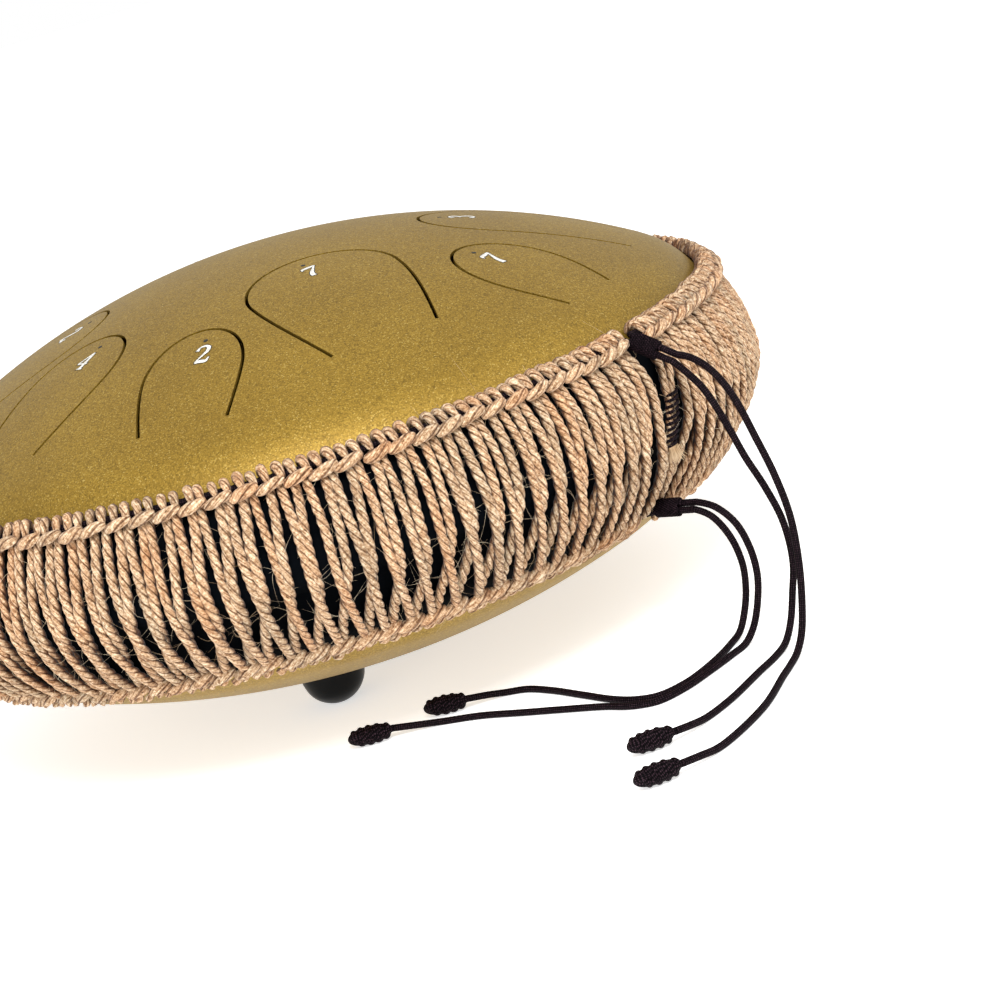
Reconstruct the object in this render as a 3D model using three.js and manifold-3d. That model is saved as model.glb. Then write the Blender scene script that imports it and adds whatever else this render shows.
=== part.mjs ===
// Steel tongue drum on rubber feet, with a laced jute rope band round its rim.
// Millimetres, +Z up. The origin is on the floor, under the middle of the drum.
// Profiles are (r, h) pairs: r from the drum's axis, h above the rim seam.

import * as THREE from 'three';
import * as BufferGeometryUtils from 'three/addons/utils/BufferGeometryUtils.js';
import Module from 'manifold-3d';

const wasm = await Module();
wasm.setup();

// ---------------------------------------------------------------- driving dimensions

const SEAM_Z = 74;                  // rim seam above the floor
const CLEARANCE = 0.35;             // gap kept between touching pieces
const RIM_R = 155;                  // outside radius of both bowls at the seam
const SHEET = 1.2;                  // steel thickness
const FLANGE = { r: 158, thick: 1.4, gap: 0.2 };
const WELD = { width: 0.9, half: 1.2, flatHalf: 0.6 };

const DOME = { radius: 268.3, crown: 79.8, shoulderRadius: 35, shoulderStart: 138 };
const BELLY = { radius: 295.8, bottom: -69.7, capEnd: 124, soundHole: 30 };
const BELLY_TURN = { capPull: 12, rimInset: 3.2, rimDrop: 15.7 };   // handles of the curve up to the rim

const BAND_R = 165;                 // outside radius of the rope band at the seam
const BAND = { top: 25, bottom: -26, edge: 33, topInset: 13, bottomInset: 22 };
const LINING = { top: 24, bottom: -24, thick: 1.6, gap: 0.5, stepHalf: 2.4, rampTop: 2 };
const UPPER_EDGING = { r: 154.8, h: 29.3, radius: 3.4 };
const LOWER_EDGING = { r: 143.2, h: -30.2, radius: 3.2 };

const CLOSURE_DEG = -43.5;          // azimuth of the laced joint in the band
const STRAND_GAP_DEG = 1.2;         // half the gap between the band's ends
const EDGING_GAP_DEG = 2.2;
const LACING = { top: 9, bottom: -9, radius: 1.7, r: 163.5, steps: 4 };

const CORD_D = 2.3;                 // braided draw cord
const CORD_OFFSET = 1.3;            // each cord of a pair from the pair's middle
const CORD_SIDES = 8;
const LOOP_BEND = { atRing: 3.4, atKnot: 2.6, steps: 6 };   // handles of a draw cord's bend into its knot
const EDGING_BORE = 1.5;
const KNOT_BORE = { half: 2.6, radius: 1.4 };
const SLIDE_KNOT = { wall: 0.5, corner: 10, leanDeg: -45 };
const STOPPER = { length: 15, radius: 3.4, tip: 2.2, shoulder: 4.5, lift: 0.05 };

const SLOT = 1.2;                   // width of a tongue's laser-cut slot
const TONGUE_STEP_DEG = 360 / 11;
const FIRST_TONGUE_DEG = -70.5;
// steps round the drum from the first tongue, then radii of the tip, widest place and open end,
// and half widths at the widest place and at the open end
const TONGUES = [
  [0, 46.2, 70.9, 116.2, 26.6, 18.5],
  [1, 88, 112, 135, 18, 13],
  [2, 60, 87, 130.5, 23.5, 19],
  [3, 78, 101, 131, 18.6, 14],
  [4, 50, 76, 119, 25.4, 19],
  [5, 84, 107, 132, 17.6, 13.5],
  [6, 34, 61, 108, 27.8, 20],
  [7, 72, 96, 128, 19.4, 14.5],
  [8, 56, 82, 123, 23, 18],
  [9, 71, 95, 127, 20, 15],
  [10, 81.4, 105.2, 128.3, 17.5, 15],
];

const FOOT_COUNT = 3;
const FOOT = { circle: 60, firstDeg: -104.3, radius: 11.3, centreZ: 10.9, segments: 24 };
const STUD = { radius: 2, headRadius: 5.2, headThick: 1.4, depth: 5, length: 14.5 };
const NUT = { acrossFlats: 7, thick: 3.2, bore: 2.35 };
const WASHER = { radius: 4.5, thick: 0.8 };

const TURN_SEGMENTS = 48;           // facets round every turned piece and every ring

// ---------------------------------------------------------------- materials

const paint = (color, roughness, metalness) => new THREE.MeshStandardMaterial({ color, roughness, metalness });
const GOLD = paint(0xa08a3c, 0.45, 0.6);
const JUTE = paint(0xb8946a, 0.95, 0);
const BLACK_CORD = paint(0x231a1e, 0.7, 0);
const RUBBER = paint(0x101012, 0.55, 0);
const STEEL = paint(0xb9bbbd, 0.35, 1);

// ---------------------------------------------------------------- small helpers

const drum = new THREE.Group();
const deg = THREE.MathUtils.degToRad;

function add(name, geometry, material, parent = drum) {
  const mesh = new THREE.Mesh(geometry, material);
  mesh.name = name;
  parent.add(mesh);
  return mesh;
}

/** A point from its azimuth in degrees, radius and height above the floor. */
function polar(azimuth, r, z) {
  return new THREE.Vector3(r * Math.cos(deg(azimuth)), r * Math.sin(deg(azimuth)), z);
}

/** Turns a profile of (r, h) pairs about the drum's axis, in drum height. */
function turn(profile, segments = TURN_SEGMENTS, lift = SEAM_Z) {
  const geometry = new THREE.LatheGeometry(profile.map(([r, h]) => new THREE.Vector2(r, h)), segments);
  geometry.rotateX(Math.PI / 2);
  geometry.translate(0, 0, lift);
  return geometry;
}

/** A closed solid from a geometry, for a boolean. */
function solid(geometry) {
  const bare = geometry.clone();
  bare.deleteAttribute('normal');
  bare.deleteAttribute('uv');
  const merged = BufferGeometryUtils.mergeVertices(bare, 1e-4);
  return new wasm.Manifold(new wasm.Mesh({
    numProp: 3,
    vertProperties: merged.attributes.position.array,
    triVerts: new Uint32Array(merged.index.array),
  }));
}

/** The boolean's result as a geometry again. */
function fromSolid(manifold) {
  const mesh = manifold.getMesh();
  const geometry = new THREE.BufferGeometry();
  geometry.setAttribute('position', new THREE.BufferAttribute(new Float32Array(mesh.vertProperties), 3));
  geometry.setIndex(new THREE.BufferAttribute(new Uint32Array(mesh.triVerts), 1));
  geometry.computeVertexNormals();
  return geometry;
}

/** Cuts each tool out of a body. */
function cut(body, tools) {
  return fromSolid(tools.reduce((rest, tool) => rest.subtract(solid(tool)), solid(body)));
}

/** A path through stations, one extrusion step for each. */
class StationPath extends THREE.Curve {
  constructor(stations) {
    super();
    this.stations = stations;
  }
  getPoint(t) {
    const place = t * (this.stations.length - 1);
    const i = Math.min(Math.floor(place), this.stations.length - 2);
    return this.stations[i].clone().lerp(this.stations[i + 1], place - i);
  }
  getPointAt(t) {
    return this.getPoint(t);
  }
  getTangentAt(t) {
    const i = Math.round(t * (this.stations.length - 1));
    const before = this.stations[Math.max(i - 1, 0)];
    const after = this.stations[Math.min(i + 1, this.stations.length - 1)];
    return after.clone().sub(before).normalize();
  }
}

function circleShape(radius, sides) {
  const shape = new THREE.Shape();
  for (let i = 0; i < sides; i += 1) {
    const a = (2 * Math.PI * i) / sides;
    if (i === 0) shape.moveTo(radius, 0);
    else shape.lineTo(radius * Math.cos(a), radius * Math.sin(a));
  }
  shape.closePath();
  return shape;
}

/** A round cord with one ring of vertices at each station. */
function cordAlong(stations) {
  return new THREE.ExtrudeGeometry(circleShape(CORD_D / 2, CORD_SIDES), {
    extrudePath: new StationPath(stations), steps: stations.length - 1, bevelEnabled: false,
  });
}

/** Sweeps a section of (r, h) pairs about the axis, from one azimuth to another, with flat ends. */
function sector(section, hole, fromDeg, toDeg, steps) {
  const middle = section.reduce((sum, [r]) => sum + r, 0) / section.length;
  const stations = [];
  for (let i = 0; i <= steps; i += 1) {
    stations.push(polar(fromDeg + ((toDeg - fromDeg) * i) / steps, middle, SEAM_Z));
  }
  // on a level arc the extrusion's x runs down and its y runs towards the axis
  const outline = (pairs) => pairs.map(([r, h]) => new THREE.Vector2(-h, middle - r));
  const shape = new THREE.Shape(outline(section));
  if (hole) shape.holes.push(new THREE.Path(outline(hole)));
  return new THREE.ExtrudeGeometry(shape, {
    extrudePath: new StationPath(stations), steps, bevelEnabled: false,
  });
}

function roundSection({ r, h }, radius, sides) {
  return Array.from({ length: sides }, (_, i) => {
    const a = (2 * Math.PI * i) / sides;
    return [r + radius * Math.cos(a), h - radius * Math.sin(a)];
  });
}

// ---------------------------------------------------------------- profiles of the two bowls

/** Top bowl: a spherical cap, then a tighter shoulder that ends upright at the seam. */
function domeOutline(capSteps, shoulderSteps) {
  const end = Math.asin(DOME.shoulderStart / DOME.radius);
  const centre = DOME.crown - DOME.radius;
  const points = [];
  for (let i = 0; i <= capSteps; i += 1) {
    const a = (end * i) / capSteps;
    points.push([DOME.radius * Math.sin(a), centre + DOME.radius * Math.cos(a)]);
  }
  for (let i = 1; i <= shoulderSteps; i += 1) {
    const a = (Math.PI / 2 - end) * (1 - i / shoulderSteps);
    points.push([
      RIM_R - DOME.shoulderRadius * (1 - Math.cos(a)),
      shoulderHeight() + DOME.shoulderRadius * Math.sin(a),
    ]);
  }
  return points;
}

function shoulderHeight() {
  const end = Math.asin(DOME.shoulderStart / DOME.radius);
  return DOME.crown - DOME.radius + (DOME.radius - DOME.shoulderRadius) * Math.cos(end);
}

/** Bottom bowl: a spherical cap from the sound hole outwards, then a soft curve up to the seam. */
function bellyOutline(curveSteps) {
  const centre = BELLY.bottom + BELLY.radius;
  const capHeight = (r) => centre - Math.sqrt(BELLY.radius ** 2 - r ** 2);
  const stations = [BELLY.soundHole, FOOT.circle - 8, FOOT.circle + 8, 96];
  const points = stations.map((r) => [r, capHeight(r)]);
  const slope = Math.asin(BELLY.capEnd / BELLY.radius);
  const start = new THREE.Vector2(BELLY.capEnd, capHeight(BELLY.capEnd));
  const curve = new THREE.CubicBezierCurve(
    start,
    new THREE.Vector2(start.x + BELLY_TURN.capPull * Math.cos(slope), start.y + BELLY_TURN.capPull * Math.sin(slope)),
    new THREE.Vector2(RIM_R - BELLY_TURN.rimInset, -BELLY_TURN.rimDrop),
    new THREE.Vector2(RIM_R, 0),
  );
  return points.concat(curve.getPoints(curveSteps).map((p) => [p.x, p.y]));
}

/** The same outline moved sideways by a distance, to the left of its direction when positive. */
function offset(outline, distance) {
  return outline.map((point, i) => {
    const before = outline[Math.max(i - 1, 0)];
    const after = outline[Math.min(i + 1, outline.length - 1)];
    const along = new THREE.Vector2(after[0] - before[0], after[1] - before[1]).normalize();
    return [point[0] - along.y * distance, point[1] + along.x * distance];
  });
}

/** Outside radius of the bowls at a height above or below the seam. */
function bowlRadius(h) {
  const ordered = h > 0 ? [[RIM_R, 0], ...domeOutline(12, 12).reverse()] : bellyOutline(12);
  for (let i = 1; i < ordered.length; i += 1) {
    const [r0, h0] = ordered[i - 1];
    const [r1, h1] = ordered[i];
    if (h >= Math.min(h0, h1) && h <= Math.max(h0, h1)) return r0 + ((r1 - r0) * (h - h0)) / (h1 - h0);
  }
  return RIM_R;
}

/** Outside radius of the rope band, bulging most at the seam. */
function bandRadius(h) {
  const inset = h > 0 ? BAND.topInset : BAND.bottomInset;
  return BAND_R - inset * (h / BAND.edge) ** 2;
}

// ---------------------------------------------------------------- tongues

/** The U-shaped slot: a half ellipse round the tip, then sides that draw in towards the open end. */
function slotShape([, tip, widest, end, half, endHalf]) {
  const tipSteps = 4;
  const round = [];
  for (let i = tipSteps; i > -tipSteps; i -= 1) {
    const a = (Math.PI / 2) * (i / tipSteps);
    round.push([widest - (widest - tip) * Math.cos(a), half * Math.sin(a)]);
  }
  const sideSteps = 2;
  const side = (i, sign) => {
    const t = i / sideSteps;
    return [widest + (end - widest) * t, sign * (half + (endHalf - half) * t * t * (3 - t) / 2)];
  };
  const first = [];
  for (let i = sideSteps; i > 0; i -= 1) first.push(side(i, 1));
  const last = [];
  for (let i = 0; i <= sideSteps; i += 1) last.push(side(i, -1));
  const path = [...first, ...round, ...last];
  const outline = [...offset(path, SLOT / 2), ...offset(path, -SLOT / 2).reverse()];
  return new THREE.Shape(outline.map(([x, y]) => new THREE.Vector2(x, y)));
}

function slotTool(spec) {
  const tool = new THREE.ExtrudeGeometry(slotShape(spec), { depth: 80, bevelEnabled: false });
  tool.translate(0, 0, SEAM_Z + 15);
  tool.rotateZ(deg(FIRST_TONGUE_DEG + spec[0] * TONGUE_STEP_DEG));
  return tool;
}

// ---------------------------------------------------------------- shells and seam

function topShell() {
  const lip = FLANGE.gap + FLANGE.thick;
  const profile = [
    ...offset(domeOutline(4, 3), -SHEET), [RIM_R - SHEET, FLANGE.gap],
    [FLANGE.r, FLANGE.gap], [FLANGE.r, lip], [RIM_R, lip], ...domeOutline(6, 4).reverse(),
  ];
  profile[0] = [0, DOME.crown - SHEET];
  return cut(turn(profile), TONGUES.map(slotTool));
}

function footFrame(i) {
  const azimuth = FOOT.firstDeg + (i * 360) / FOOT_COUNT;
  const tilt = Math.asin(FOOT.circle / BELLY.radius);
  const onShell = BELLY.bottom + BELLY.radius * (1 - Math.cos(tilt));
  const frame = new THREE.Matrix4().makeRotationZ(deg(azimuth));
  frame.multiply(new THREE.Matrix4().makeTranslation(FOOT.circle, 0, SEAM_Z + onShell));
  frame.multiply(new THREE.Matrix4().makeRotationY(-tilt));
  return frame;
}

function disc(radius, low, high, sides = 16) {
  const geometry = new THREE.CylinderGeometry(radius, radius, high - low, sides);
  geometry.rotateX(Math.PI / 2);
  geometry.translate(0, 0, (low + high) / 2);
  return geometry;
}

function bottomShell() {
  const outer = bellyOutline(5).slice(0, -1);
  const lip = FLANGE.gap + FLANGE.thick;
  const inner = offset(bellyOutline(4), SHEET).slice(0, -1);
  const profile = [
    ...outer, [RIM_R, -lip], [FLANGE.r, -lip], [FLANGE.r, -FLANGE.gap],
    [RIM_R - SHEET, -FLANGE.gap], ...inner.reverse(), outer[0],
  ];
  const holes = Array.from({ length: FOOT_COUNT }, (_, i) => disc(STUD.radius + 0.4, -6, 6).applyMatrix4(footFrame(i)));
  return cut(turn(profile), holes);
}

function seamWeld() {
  const inside = FLANGE.r + CLEARANCE;
  const outside = inside + WELD.width;
  return turn([
    [inside, -WELD.half], [outside, -WELD.flatHalf], [outside, WELD.flatHalf], [inside, WELD.half], [inside, -WELD.half],
  ]);
}

// ---------------------------------------------------------------- band

/** Inside and outside of the lining: just off the bowls, and stepped out over the flange and its weld. */
function liningSection() {
  const over = FLANGE.r + CLEARANCE * 2 + WELD.width;
  const { gap, stepHalf, rampTop } = LINING;
  const offBowl = (h) => [bowlRadius(h) + gap, h];
  const inside = [
    offBowl(LINING.bottom), offBowl(LINING.bottom / 2), offBowl(-stepHalf),
    [over, -rampTop], [over, rampTop],
    offBowl(stepHalf), offBowl(LINING.top / 2), offBowl(LINING.top * 0.75), offBowl(LINING.top),
  ];
  const outside = inside.map(([r, h]) => [r + LINING.thick, h]);
  return { inside, outside };
}

function bandLining() {
  const { inside, outside } = liningSection();
  return turn([...outside, ...inside.reverse(), outside[0]]);
}

function ropeStrands() {
  const { outside } = liningSection();
  const inner = outside.map(([r, h]) => [r + 0.5, h]);
  inner[0] = [bowlRadius(BAND.bottom) + 3, BAND.bottom];
  inner[inner.length - 1] = [bowlRadius(LINING.top) + 2.8, BAND.top];
  const outer = [BAND.top, 13, 0, -13, BAND.bottom].map((h) => [bandRadius(h), h]);
  const from = CLOSURE_DEG + STRAND_GAP_DEG;
  return sector([...inner, ...outer], null, from, from + 360 - 2 * STRAND_GAP_DEG, TURN_SEGMENTS);
}

function edging(spec) {
  const from = CLOSURE_DEG + EDGING_GAP_DEG;
  const to = from + 360 - 2 * EDGING_GAP_DEG;
  return sector(roundSection(spec, spec.radius, 8), roundSection(spec, EDGING_BORE, 6), from, to, TURN_SEGMENTS);
}

function lacing() {
  const stations = [];
  for (let i = 0; i <= LACING.steps; i += 1) {
    const h = LACING.top + ((LACING.bottom - LACING.top) * i) / LACING.steps;
    stations.push(polar(CLOSURE_DEG, LACING.r - BAND.topInset * (h / BAND.edge) ** 2, SEAM_Z + h));
  }
  return new THREE.ExtrudeGeometry(circleShape(LACING.radius, 10), {
    extrudePath: new StationPath(stations), steps: stations.length - 1, bevelEnabled: false,
  });
}

// ---------------------------------------------------------------- draw cords and knots

// A slide knot's axis in the upright plane of the closure: start radius and height, direction, length.
const UPPER_SLIDE = { r: 156.8, z: 102.5, fall: -27, length: 10.5 };
const LOWER_SLIDE = { r: 147.6, z: 45, fall: 0, length: 10 };

function slideFrame(slide) {
  const along = polar(CLOSURE_DEG, Math.cos(deg(slide.fall)), Math.sin(deg(slide.fall)));
  const upright = polar(CLOSURE_DEG, -Math.sin(deg(slide.fall)), Math.cos(deg(slide.fall)));
  const across = upright.applyAxisAngle(along, deg(SLIDE_KNOT.leanDeg));
  return { start: polar(CLOSURE_DEG, slide.r, slide.z), along, across };
}

/** A point of one cord of the pair, a distance along the knot's axis. */
function pairPoint(slide, distance, side) {
  const { start, along, across } = slideFrame(slide);
  return start.clone().addScaledVector(along, distance).addScaledVector(across, side * CORD_OFFSET);
}

/** The held part of a draw cord: through the knot, round the drum inside the edging, and back. */
function drawLoop(edge, slide) {
  const from = CLOSURE_DEG + EDGING_GAP_DEG;
  const to = from + 360 - 2 * EDGING_GAP_DEG;
  const { along } = slideFrame(slide);
  const bend = (azimuth, turnSign, side) => {
    const ringEnd = polar(azimuth, edge.r, SEAM_Z + edge.h);
    const tangent = new THREE.Vector3(-Math.sin(deg(azimuth)), Math.cos(deg(azimuth)), 0).multiplyScalar(turnSign);
    const entry = pairPoint(slide, 0, side);
    return new THREE.CubicBezierCurve3(
      ringEnd, ringEnd.clone().addScaledVector(tangent, LOOP_BEND.atRing),
      entry.clone().addScaledVector(along, -LOOP_BEND.atKnot), entry,
    ).getPoints(LOOP_BEND.steps);
  };
  const stations = [pairPoint(slide, slide.length, 1), ...bend(from, -1, 1).reverse()];
  for (let i = 1; i < TURN_SEGMENTS; i += 1) {
    stations.push(polar(from + ((to - from) * i) / TURN_SEGMENTS, edge.r, SEAM_Z + edge.h));
  }
  stations.push(...bend(to, 1, -1), pairPoint(slide, slide.length, -1));
  return cordAlong(stations);
}

/** A slide knot: a flattened wound barrel with an oval bore for its two cords. */
function slideKnot(slide) {
  const oval = (grow) => {
    const points = [];
    const reach = KNOT_BORE.half - KNOT_BORE.radius;
    for (let i = 0; i < SLIDE_KNOT.corner; i += 1) {
      const a = (Math.PI * 2 * (i + 0.5)) / SLIDE_KNOT.corner;
      const sign = Math.sin(a) > 0 ? 1 : -1;
      points.push(new THREE.Vector2(
        (KNOT_BORE.radius + grow) * Math.cos(a),
        (KNOT_BORE.radius + grow) * Math.sin(a) + sign * reach,
      ));
    }
    return points;
  };
  const shape = new THREE.Shape(oval(SLIDE_KNOT.wall));
  shape.holes.push(new THREE.Path(oval(0)));
  const geometry = new THREE.ExtrudeGeometry(shape, { depth: slide.length, bevelEnabled: false });
  const { start, along, across } = slideFrame(slide);
  const sideways = new THREE.Vector3().crossVectors(across, along);
  geometry.applyMatrix4(new THREE.Matrix4().makeBasis(sideways, across, along).setPosition(start));
  return geometry;
}

// Free tails. Each starts where its cord leaves the slide knot, hangs over the rim, and lies on the floor.
const UPPER_OUTER_TAIL = [
  [128.8, -122.5, 94.6], [132.3, -126.4, 91.6], [135.4, -130.3, 86.6], [137.8, -133.8, 79.9], [140.3, -137.8, 67.6],
  [142.5, -141.6, 55.1], [143.5, -144.2, 42], [142.3, -145.4, 27.5], [139.8, -146.4, 14.6], [136.9, -149.2, 6],
  [133.4, -154.6, 2.1], [129.6, -161.6, 1.2], [125.8, -169.2, 1.2], [116.3, -189, 1.2], [104.1, -205.6, 1.2],
  [97.8, -211.9, 1.3], [92.4, -216.4, 2.4],
];
const UPPER_INNER_TAIL = [
  [129.6, -122.1, 85], [132.2, -124.2, 77.9], [134.5, -125.9, 69.1], [136.7, -127.6, 59.7],
  [139.9, -130.5, 49.2], [142.2, -132.9, 37.7], [141.8, -134, 24.4], [138.9, -135.2, 14.6], [135.6, -138.2, 6.6],
  [131.8, -143.2, 2.2], [127.2, -149.8, 1.2], [120.4, -158.8, 1.2], [107.6, -176, 1.2], [98.6, -185.2, 1.3],
  [93.6, -190.2, 2.4],
];
const LOWER_OUTER_TAIL = [
  [124.3, -117.9, 44.1], [128.7, -122.1, 38.3], [130.8, -124.2, 29.5], [130.7, -124.9, 20.5],
  [128.4, -124.6, 11.4], [125, -126.2, 4.6], [120.8, -130.4, 1.4], [115.1, -136.6, 1.2], [106.8, -145, 1.2],
  [96.7, -154, 1.2], [87.4, -158.4, 1.2], [79.4, -155.9, 1.2], [70.8, -148.6, 1.2], [58.2, -139.9, 1.2],
  [45.5, -131.4, 1.2], [32.5, -122.6, 1.2], [20, -117, 1.2], [10.6, -115.6, 2.3],
];
const LOWER_INNER_TAIL = [
  [122.3, -116, 41.2], [126, -119.4, 34.1], [127.5, -120, 24.6], [126.5, -118.6, 15],
  [124, -118.3, 7.4], [120.8, -120.8, 2.6], [116.6, -126, 1.2], [108, -139, 1.2], [97.6, -149.8, 1.2],
  [88.2, -153.8, 1.2], [80.8, -150.9, 1.2], [74.6, -144.8, 1.2], [66, -132.4, 1.2], [57, -119.2, 1.2],
  [48.9, -110.2, 1.2], [42, -107.4, 1.3], [36.4, -107.6, 2.3],
];

const STRAIGHT = 6;                 // length of cord past the knot that stays straight
const TAILS = [
  { name: 'upper_outer', slide: UPPER_SLIDE, side: 1, route: UPPER_OUTER_TAIL, knot: [86.4, -220.6], knotTurn: 193 },
  { name: 'upper_inner', slide: UPPER_SLIDE, side: -1, route: UPPER_INNER_TAIL, knot: [88.2, -194.2], knotTurn: 189 },
  { name: 'lower_outer', slide: LOWER_SLIDE, side: 1, route: LOWER_OUTER_TAIL, knot: [3.6, -115.4], knotTurn: 178 },
  { name: 'lower_inner', slide: LOWER_SLIDE, side: -1, route: LOWER_INNER_TAIL, knot: [29.6, -108.6], knotTurn: 172 },
];

function tailStations({ slide, side, route, knot }) {
  const start = pairPoint(slide, slide.length + CLEARANCE, side);
  const straightEnd = pairPoint(slide, slide.length + STRAIGHT, side);
  const end = new THREE.Vector3(knot[0], knot[1], STOPPER.radius + STOPPER.lift);
  const points = [start, straightEnd, ...route.map((p) => new THREE.Vector3(...p)), end];
  const curve = new THREE.CatmullRomCurve3(points, false, 'centripetal');
  return curve.getSpacedPoints(Math.round(curve.getLength() / (2.8 * CORD_D)));
}

/** A stopper knot lying on the floor: a barrel whose axis is level, ahead of its cord's end. */
function stopperKnot({ knot, knotTurn }) {
  const { length, radius, tip, shoulder, lift } = STOPPER;
  const profile = [[0, 0], [tip, 0.4], [radius, shoulder], [radius, length - shoulder], [tip, length - 0.4], [0, length]];
  const geometry = new THREE.LatheGeometry(profile.map(([r, h]) => new THREE.Vector2(r, h)), 12);
  geometry.rotateZ(-Math.PI / 2);
  geometry.translate(CLEARANCE, 0, 0);
  geometry.rotateZ(deg(knotTurn));
  geometry.translate(knot[0], knot[1], radius + lift);
  return geometry;
}

// ---------------------------------------------------------------- feet

/** Rubber foot: a ball flattened where it stands and where it meets the bowl, bored for the stud. */
function footRubber(i) {
  const frame = footFrame(i);
  const flatHalf = Math.sqrt(FOOT.radius ** 2 - FOOT.centreZ ** 2);
  const lowest = Math.asin(flatHalf / FOOT.radius);
  const profile = [[0, 0]];
  const steps = 7;
  for (let k = 0; k <= steps; k += 1) {
    const a = lowest + ((Math.PI / 2 - lowest) * k) / steps;
    profile.push([FOOT.radius * Math.sin(a), FOOT.centreZ - FOOT.radius * Math.cos(a)]);
  }
  profile.push([FOOT.radius, FOOT.centreZ + 6], [0, FOOT.centreZ + 6]);
  const ball = turn(profile, FOOT.segments, 0);
  const azimuth = deg(FOOT.firstDeg + (i * 360) / FOOT_COUNT);
  ball.translate(FOOT.circle * Math.cos(azimuth), FOOT.circle * Math.sin(azimuth), 0);
  const head = STUD.headThick + 2 * CLEARANCE;
  const above = disc(FOOT.radius * 2, -CLEARANCE, 16).applyMatrix4(frame);
  const bore = disc(STUD.radius + CLEARANCE, -STUD.depth, 4).applyMatrix4(frame);
  const socket = disc(STUD.headRadius + CLEARANCE, -STUD.depth - head, -STUD.depth).applyMatrix4(frame);
  return cut(ball, [above, fromSolid(solid(bore).add(solid(socket)))]);
}

function footStud() {
  const low = -STUD.depth - CLEARANCE - STUD.headThick;
  const neck = -STUD.depth - CLEARANCE;
  return turn([
    [0, low], [STUD.headRadius, low], [STUD.headRadius, neck], [STUD.radius, neck],
    [STUD.radius, low + STUD.length - 0.5], [STUD.radius - 0.5, low + STUD.length], [0, low + STUD.length],
  ], 16, 0);
}

function ringPiece(outerShape, bore, low, thick) {
  outerShape.holes.push(circleShape(bore, 16));
  const geometry = new THREE.ExtrudeGeometry(outerShape, { depth: thick, bevelEnabled: false });
  geometry.translate(0, 0, low);
  return geometry;
}

// ---------------------------------------------------------------- assembly

add('top_shell', topShell(), GOLD);
add('bottom_shell', bottomShell(), GOLD);
add('seam_weld', seamWeld(), STEEL);
add('band_lining', bandLining(), RUBBER);
add('rope_strands', ropeStrands(), JUTE);
add('rope_upper_edging', edging(UPPER_EDGING), JUTE);
add('rope_lower_edging', edging(LOWER_EDGING), JUTE);
add('closure_lacing', lacing(), BLACK_CORD);
add('upper_draw_loop', drawLoop(UPPER_EDGING, UPPER_SLIDE), BLACK_CORD);
add('lower_draw_loop', drawLoop(LOWER_EDGING, LOWER_SLIDE), BLACK_CORD);
add('upper_slide_knot', slideKnot(UPPER_SLIDE), BLACK_CORD);
add('lower_slide_knot', slideKnot(LOWER_SLIDE), BLACK_CORD);

for (const tail of TAILS) {
  add(`${tail.name}_tail`, cordAlong(tailStations(tail)), BLACK_CORD);
  add(`${tail.name}_knot`, stopperKnot(tail), BLACK_CORD);
}

for (let i = 0; i < FOOT_COUNT; i += 1) {
  const frame = new THREE.Group();
  frame.applyMatrix4(footFrame(i));
  drum.add(frame);
  add(`foot_${i + 1}_rubber`, footRubber(i), RUBBER);
  add(`foot_${i + 1}_stud`, footStud(), STEEL, frame);
  const inside = SHEET + CLEARANCE;
  add(`foot_${i + 1}_washer`, ringPiece(circleShape(WASHER.radius, 16), NUT.bore, inside, WASHER.thick), STEEL, frame);
  const hexagon = circleShape(NUT.acrossFlats / Math.sqrt(3), 6);
  add(`foot_${i + 1}_nut`, ringPiece(hexagon, NUT.bore, inside + WASHER.thick + CLEARANCE, NUT.thick), STEEL, frame);
}

export default drum;
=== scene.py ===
"""A steel tongue drum with a laced jute rope band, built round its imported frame.

Shapes are worked out in millimetres as whole numpy arrays, with r the distance from the drum's axis
and h the height above the rim seam, and are put into meshes in metres."""

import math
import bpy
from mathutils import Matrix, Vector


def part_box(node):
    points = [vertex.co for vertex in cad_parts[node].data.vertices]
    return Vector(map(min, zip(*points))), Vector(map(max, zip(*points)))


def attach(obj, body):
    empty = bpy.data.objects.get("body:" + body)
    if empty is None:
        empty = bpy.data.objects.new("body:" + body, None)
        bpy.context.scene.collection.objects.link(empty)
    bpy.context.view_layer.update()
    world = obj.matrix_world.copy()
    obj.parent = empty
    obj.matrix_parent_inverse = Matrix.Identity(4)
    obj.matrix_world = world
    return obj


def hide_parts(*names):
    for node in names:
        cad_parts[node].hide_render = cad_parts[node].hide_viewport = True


bl_info = {
    "name": "Steel Tongue Drum",
    "version": (1, 0, 0),
    "blender": (4, 5, 0),
    "location": "3D Viewport > Sidebar > Tongue Drum",
    "description": "Makes a gold steel tongue drum with its jute rope band, draw cords and feet",
    "category": "Object",
}

import bpy
import numpy as np
from bpy.props import BoolProperty, FloatProperty, FloatVectorProperty, IntProperty, PointerProperty
from mathutils import Matrix
from mathutils.geometry import delaunay_2d_cdt

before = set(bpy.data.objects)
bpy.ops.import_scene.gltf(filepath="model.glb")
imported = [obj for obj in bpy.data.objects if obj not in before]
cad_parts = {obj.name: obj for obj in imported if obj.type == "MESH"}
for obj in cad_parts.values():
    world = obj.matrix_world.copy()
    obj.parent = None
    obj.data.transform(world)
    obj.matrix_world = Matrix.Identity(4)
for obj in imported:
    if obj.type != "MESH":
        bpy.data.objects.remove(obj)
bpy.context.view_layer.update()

MM = 0.001
SEED = 11


def box_mm(node):
    """The two corners of a CAD node's box, in millimetres."""
    low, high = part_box(node)
    return np.array(low) / MM, np.array(high) / MM


# ------------------------------------------------------------------ sizes, in millimetres

SEAM_Z = float((box_mm("seam_weld")[0][2] + box_mm("seam_weld")[1][2]) / 2)
FLANGE_R = float(box_mm("top_shell")[1][0])
RIM_R = FLANGE_R - 3
SHEET = 1.2                         # steel thickness
LIP = 1.6                           # height of the flange's face from the seam

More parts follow.
